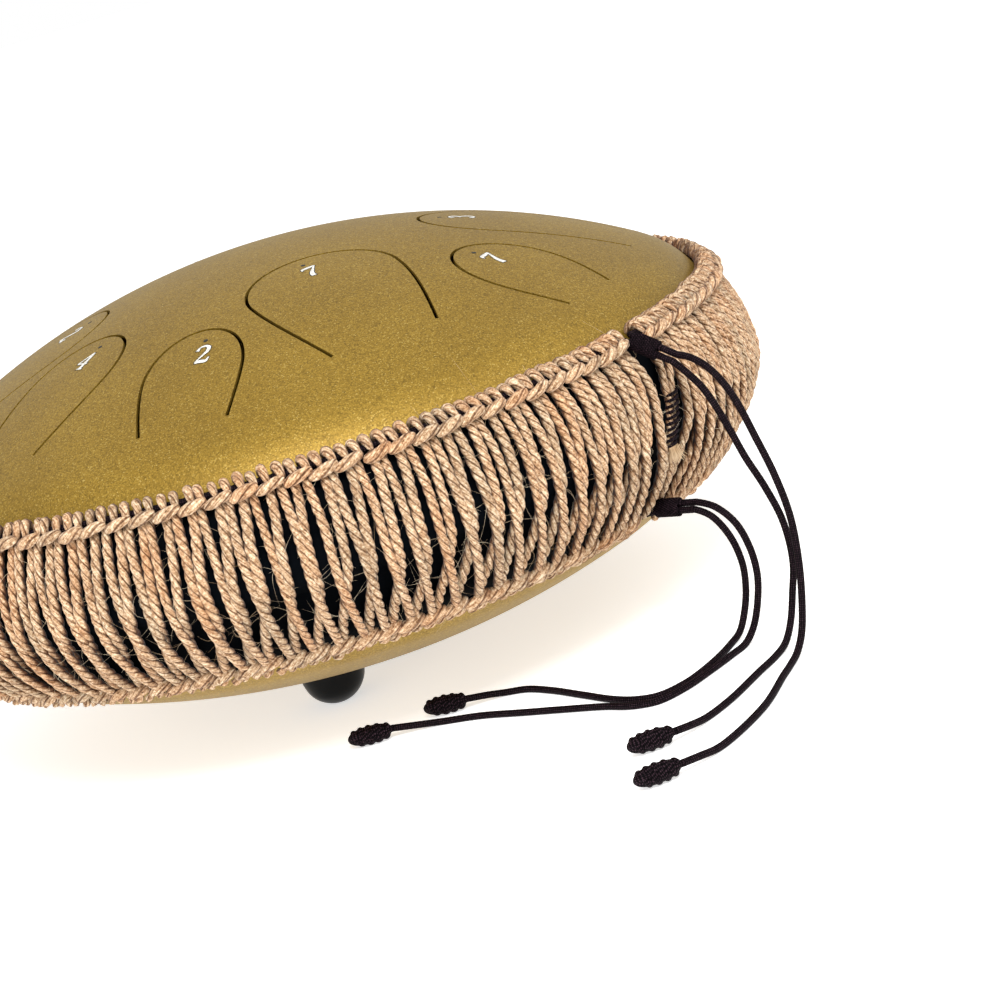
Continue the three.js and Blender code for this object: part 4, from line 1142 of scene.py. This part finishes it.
class DRUM_OT_cords(bpy.types.Operator):
    """Makes the draw cords, their slide knots and their stopper knots"""

    bl_idname = "drum.cords"
    bl_label = "Draw Cords"

    def execute(self, context):
        cord = finish_of("cord", braided_cord)
        for name, slide, side, route, end, knot_deg in TAILS:
            finish = np.array((*end, STOPPER_R + 0.05))
            straight = [pair_point(slide, slide[3] + run, side) for run in (0.35, 3.0, 4.8, STRAIGHT)]
            points = [*straight, *route, finish]
            line = curve_points(points, 0.5)
            tail = make_piece(f"{name}_cord", cord_shape(line), cord)
            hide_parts(f"{name}_tail")
            knot = self.stopper(f"{name}_stopper", end, knot_deg, cord)
            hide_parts(f"{name}_knot")
        for name, slide, r, z in (("upper", UPPER_SLIDE, 154.8, 29.3), ("lower", LOWER_SLIDE, 143.2, -30.2)):
            self.loop(name, slide, r, SEAM_Z + z, cord)
            self.slide_knot(name, slide, cord)
        return {"FINISHED"}

    def loop(self, name, slide, r, z, cord):
        """The held part of a draw cord: through the knot, bent into the edging, round, and back."""
        _, axis, _ = slide_frame(slide)
        t = np.linspace(0, 1, 24)[:, None]

        def bend(azimuth, sign, side):
            start = polar(azimuth, r, z)
            pull = start + 3.4 * sign * polar(azimuth + 90, 1.0, 0.0)
            entry = pair_point(slide, 0, side)
            before = entry - 2.6 * axis
            return ((1 - t) ** 3 * start + 3 * t * (1 - t) ** 2 * pull
                    + 3 * t * t * (1 - t) * before + t**3 * entry)

        low, high = CLOSURE_DEG + EDGING_GAP_DEG, CLOSURE_DEG + 360 - EDGING_GAP_DEG
        ring = polar(np.linspace(low, high, 400)[1:-1], r, z)
        line = np.vstack([pair_point(slide, slide[3], 1)[None], bend(low, -1, 1)[::-1], ring,
                          bend(high, 1, -1), pair_point(slide, slide[3], -1)[None]])
        piece = make_piece(f"{name}_loop_cord", cord_shape(even(line, 0.9), corners=16), cord)
        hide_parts(f"{name}_draw_loop")

    def slide_knot(self, name, slide, cord):
        """A slide knot: cord wound tightly round the pair, a helix whose turns are ovals."""
        start, axis, across = slide_frame(slide)
        sideways = np.cross(across, axis)
        turns, wire = 12, 0.4
        a = np.linspace(0, turns * 2 * np.pi, turns * 28)
        half_width = CORD_D / 2 + 0.08 + wire
        x = half_width * np.cos(a)
        y = half_width * np.sin(a) + PAIR_OFFSET * np.tanh(6 * np.sin(a))
        run = wire + np.linspace(0, slide[3] - 2 * wire, len(a))
        path = start + run[:, None] * axis + x[:, None] * sideways + y[:, None] * across
        section = ply_section(np.full((1, len(a)), wire), a[None] * 4, depth=0.85)
        up = np.broadcast_to(axis, path.shape)[None]
        piece = make_piece(f"{name}_slide_winding", tubes(path[None], section, up), cord,
                           body=f"{name}_slide_knot")
        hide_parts(f"{name}_slide_knot")

    def stopper(self, name, end, knot_deg, cord):
        """A stopper knot: fat leaning turns of cord round a core, and a bight of it over the far end.

        The winding's distance from the axis is a power of half a sine, so the knot is egg-shaped, and each
        turn leans by adding a sine to its run. The bight is a tilted half ring. The core is a rounded
        barrel, a superellipse of power 2.6, and starts inside the cord's end at the cord's own thickness.
        """
        out = polar(knot_deg, 1.0, 0.0)
        side, up = polar(knot_deg + 90, 1.0, 0.0), np.array((0.0, 0.0, 1.0))
        base = np.array((*end, STOPPER_R + 0.05)) + 0.35 * out
        fat = 1.2
        t = np.linspace(0, 1, 170)
        swell = np.sin(np.pi * (0.14 + 0.66 * t)) ** 0.6
        a = 2 * np.pi * 4.3 * t + 0.8
        run = 1.0 + (STOPPER_LENGTH - 3.2) * t + 0.8 * np.sin(a + 0.4) * np.sin(np.pi * t) ** 0.5
        barrel = (STOPPER_R - fat) * swell
        winding = (base + run[:, None] * out + (barrel * np.cos(a))[:, None] * side
                   + (barrel * np.sin(a))[:, None] * up)
        b = np.linspace(-2.0, 2.0, 36)
        tilted = math.cos(0.6) * side + math.sin(0.6) * up
        bight = (base + (STOPPER_LENGTH - fat - 2.1 + 2.1 * np.cos(b))[:, None] * out
                 + (2.1 * np.sin(b))[:, None] * tilted)
        core_run = np.concatenate([[-0.5, 0.0], STOPPER_LENGTH * (0.5 - 0.5 * np.cos(np.linspace(0.3, 3.1, 40)))])
        core = base + core_run[:, None] * out
        from_middle = np.abs(2 * core_run / STOPPER_LENGTH - 1)
        fill = np.maximum(CORD_D / 2 * (core_run < 2), 2.95 * np.sqrt(np.maximum(1 - from_middle**2.6, 0)))
        parts = []
        for line, radius, facing in ((winding, fat * (0.75 + 0.25 * swell), out), (bight, np.full(36, fat), up),
                                     (core, fill, side)):
            section = ply_section(radius[None], np.zeros((1, len(line))), corners=6, depth=0.95)
            parts.append(tubes(line[None], section, np.broadcast_to(facing, line.shape)[None]))
        return make_piece(name, joined(parts), cord)


class DRUM_OT_feet(bpy.types.Operator):
    """Makes the rubber feet, and gives their steel fittings a finish"""

    bl_idname = "drum.feet"
    bl_label = "Feet"

    def execute(self, context):
        black = finish_of("foot", rubber, "moulded_black_rubber", "#020304", 0.35, 0.14)
        zinc = finish_of("zinc", steel, "zinc_plated_steel", "#C4C6C8", 0.35, 900.0)
        flat_half = math.sqrt(FOOT_R**2 - FOOT_CENTRE_Z**2)
        low = math.asin(flat_half / FOOT_R)
        top = float(box_mm("foot_1_rubber")[1][2])
        high = math.acos((FOOT_CENTRE_Z - (top - 2.3)) / FOOT_R)
        a = np.linspace(low, high, 40)
        segments = 64
        slope = math.asin(FOOT_CIRCLE / BELLY_RADIUS)
        for i in range(3):
            azimuth = FOOT_FIRST_DEG + 120 * i
            centre = polar(azimuth, FOOT_CIRCLE, 0.0)
            line_r = np.concatenate([[1e-3, flat_half * 0.9], FOOT_R * np.sin(a)])
            line_z = np.concatenate([[0, 0], FOOT_CENTRE_Z - FOOT_R * np.cos(a)])
            end_r, end_z = line_r[-1], line_z[-1]
            line_r = np.concatenate([line_r, [end_r * 0.94, 2.4, 2.4, 1e-3]])
            line_z = np.concatenate([line_z, [end_z + 0.25, end_z + 0.3, end_z - 4.0, end_z - 4.0]])
            points = polar((np.arange(segments) / segments * 360)[:, None], line_r, line_z)
            radial = outward_of(centre)
            reach = (points * radial).sum(-1)
            lift = smooth(line_z, 4.0, end_z)[None]
            points[..., 2] += lift * reach * math.tan(slope)
            points = points + centre
            m = len(line_r)
            index = np.arange(segments * m).reshape(segments, m)
            nxt = np.roll(index, -1, axis=0)
            quads = np.stack([index[:, :-1], nxt[:, :-1], nxt[:, 1:], index[:, 1:]], -1).reshape(-1, 4)
            ends = []
            for j, turned_over in ((0, False), (m - 1, True)):
                fan = np.stack([np.full(segments - 2, index[0, j]), index[2:, j], index[1:-1, j]], -1)
                ends.append(fan[:, ::-1] if turned_over else fan)
            triangles = np.vstack(ends)
            uv = np.zeros((4 * len(quads) + 3 * len(triangles), 2))
            foot = make_piece(f"foot_{i + 1}_ball", (points.reshape(-1, 3), quads, triangles, uv), black,
                              sharp_deg=40)
            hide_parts(f"foot_{i + 1}_rubber")
            for part in ("stud", "washer", "nut"):
                set_finish(f"foot_{i + 1}_{part}", zinc)
        return {"FINISHED"}


class DRUM_OT_stage(bpy.types.Operator):
    """Makes the pale floor, the soft studio lights and the camera"""

    bl_idname = "drum.stage"
    bl_label = "Stage"

    def execute(self, context):
        scene = context.scene
        size = 40.0
        mesh = bpy.data.meshes.new("floor")
        mesh.from_pydata([(-size, -size, 0), (size, -size, 0), (size, size, 0), (-size, size, 0)], [], [(0, 1, 2, 3)])
        mesh.materials.append(studio_paper())
        floor = bpy.data.objects.new("floor", mesh)
        scene.collection.objects.link(floor)
        world = bpy.data.worlds.new("studio")
        scene.world = world
        world.use_nodes = True
        tree = world.node_tree
        background = tree.nodes["Background"]
        background.inputs["Color"].default_value = colour("#FFFFFF")
        # the backdrop is plain white, and its light on the drum is a little less than that
        seen = node(tree, "ShaderNodeLightPath").outputs["Is Camera Ray"]
        tree.links.new(maths(tree, "MULTIPLY_ADD", seen, 0.3, 0.7), background.inputs["Strength"])
        for name, place, watts, side in (
            ("key", (0.1, -1.0, 1.05), 17.0, 0.5),
            ("fill", (-1.0, -0.9, 0.45), 4.0, 0.8),
            ("side", (1.0, -0.3, 0.95), 3.0, 0.6),
        ):
            light = bpy.data.lights.new(name, "AREA")
            light.energy = watts
            light.size = side
            lamp = bpy.data.objects.new(name, light)
            lamp.matrix_world = looking(place, (0, 0, 0.07))
            scene.collection.objects.link(lamp)
        lens = bpy.data.cameras.new("camera")
        lens.sensor_width = 36.0
        lens.lens = 85.875
        lens.clip_start = 0.01
        camera = bpy.data.objects.new("camera", lens)
        camera.matrix_world = camera_place()
        scene.collection.objects.link(camera)
        scene.camera = camera
        scene.view_settings.view_transform = "Standard"
        return {"FINISHED"}


def looking(place, target):
    """A place, turned so that its -Z points at a target."""
    place, target = np.array(place, float), np.array(target, float)
    back = unit(place - target)
    right = unit(np.cross((0.0, 0.0, 1.0), back))
    up = np.cross(back, right)
    matrix = Matrix.Identity(4)
    for column, axis in enumerate((right, up, back, place)):
        for row in range(3):
            matrix[row][column] = float(axis[row])
    return matrix


def camera_place():
    """The camera stands in front, raised 14 degrees, and is rolled so that the drum's right side is up."""
    elevation, roll = math.radians(13.937), -0.29425
    back = np.array((0, -math.cos(elevation), math.sin(elevation)))
    right, up = np.array((1.0, 0, 0)), np.array((0, math.sin(elevation), math.cos(elevation)))
    rolled = math.cos(roll) * right + math.sin(roll) * up
    rolled_up = -math.sin(roll) * right + math.cos(roll) * up
    matrix = Matrix.Identity(4)
    for column, axis in enumerate((rolled, rolled_up, back, np.array((58.6, -856.7, 250.4)) * MM)):
        for row in range(3):
            matrix[row][column] = float(axis[row])
    return matrix


class DRUM_PT_panel(bpy.types.Panel):
    """Lists the drum's settings and pieces"""

    bl_label = "Tongue Drum"
    bl_idname = "DRUM_PT_panel"
    bl_space_type = "VIEW_3D"
    bl_region_type = "UI"
    bl_category = "Tongue Drum"

    def draw(self, context):
        for settings in (context.scene.drum_looks, context.scene.drum_band):
            for name in settings.bl_rna.properties.keys():
                if name not in {"rna_type", "name"}:
                    self.layout.prop(settings, name)
        for operator in OPERATORS:
            self.layout.operator(operator.bl_idname)


OPERATORS = (DRUM_OT_stage, DRUM_OT_cords, DRUM_OT_shells, DRUM_OT_numbers, DRUM_OT_band, DRUM_OT_feet)
CLASSES = (DRUM_PG_looks, DRUM_PG_band, *OPERATORS, DRUM_PT_panel)


def register():
    for cls in CLASSES:
        bpy.utils.register_class(cls)
    bpy.types.Scene.drum_looks = PointerProperty(type=DRUM_PG_looks)
    bpy.types.Scene.drum_band = PointerProperty(type=DRUM_PG_band)


def unregister():
    del bpy.types.Scene.drum_band
    del bpy.types.Scene.drum_looks
    for cls in reversed(CLASSES):
        bpy.utils.unregister_class(cls)


def main():
    register()
    for operator in OPERATORS:
        group, name = operator.bl_idname.split(".")
        getattr(getattr(bpy.ops, group), name)()


if __name__ == "__main__":
    main()
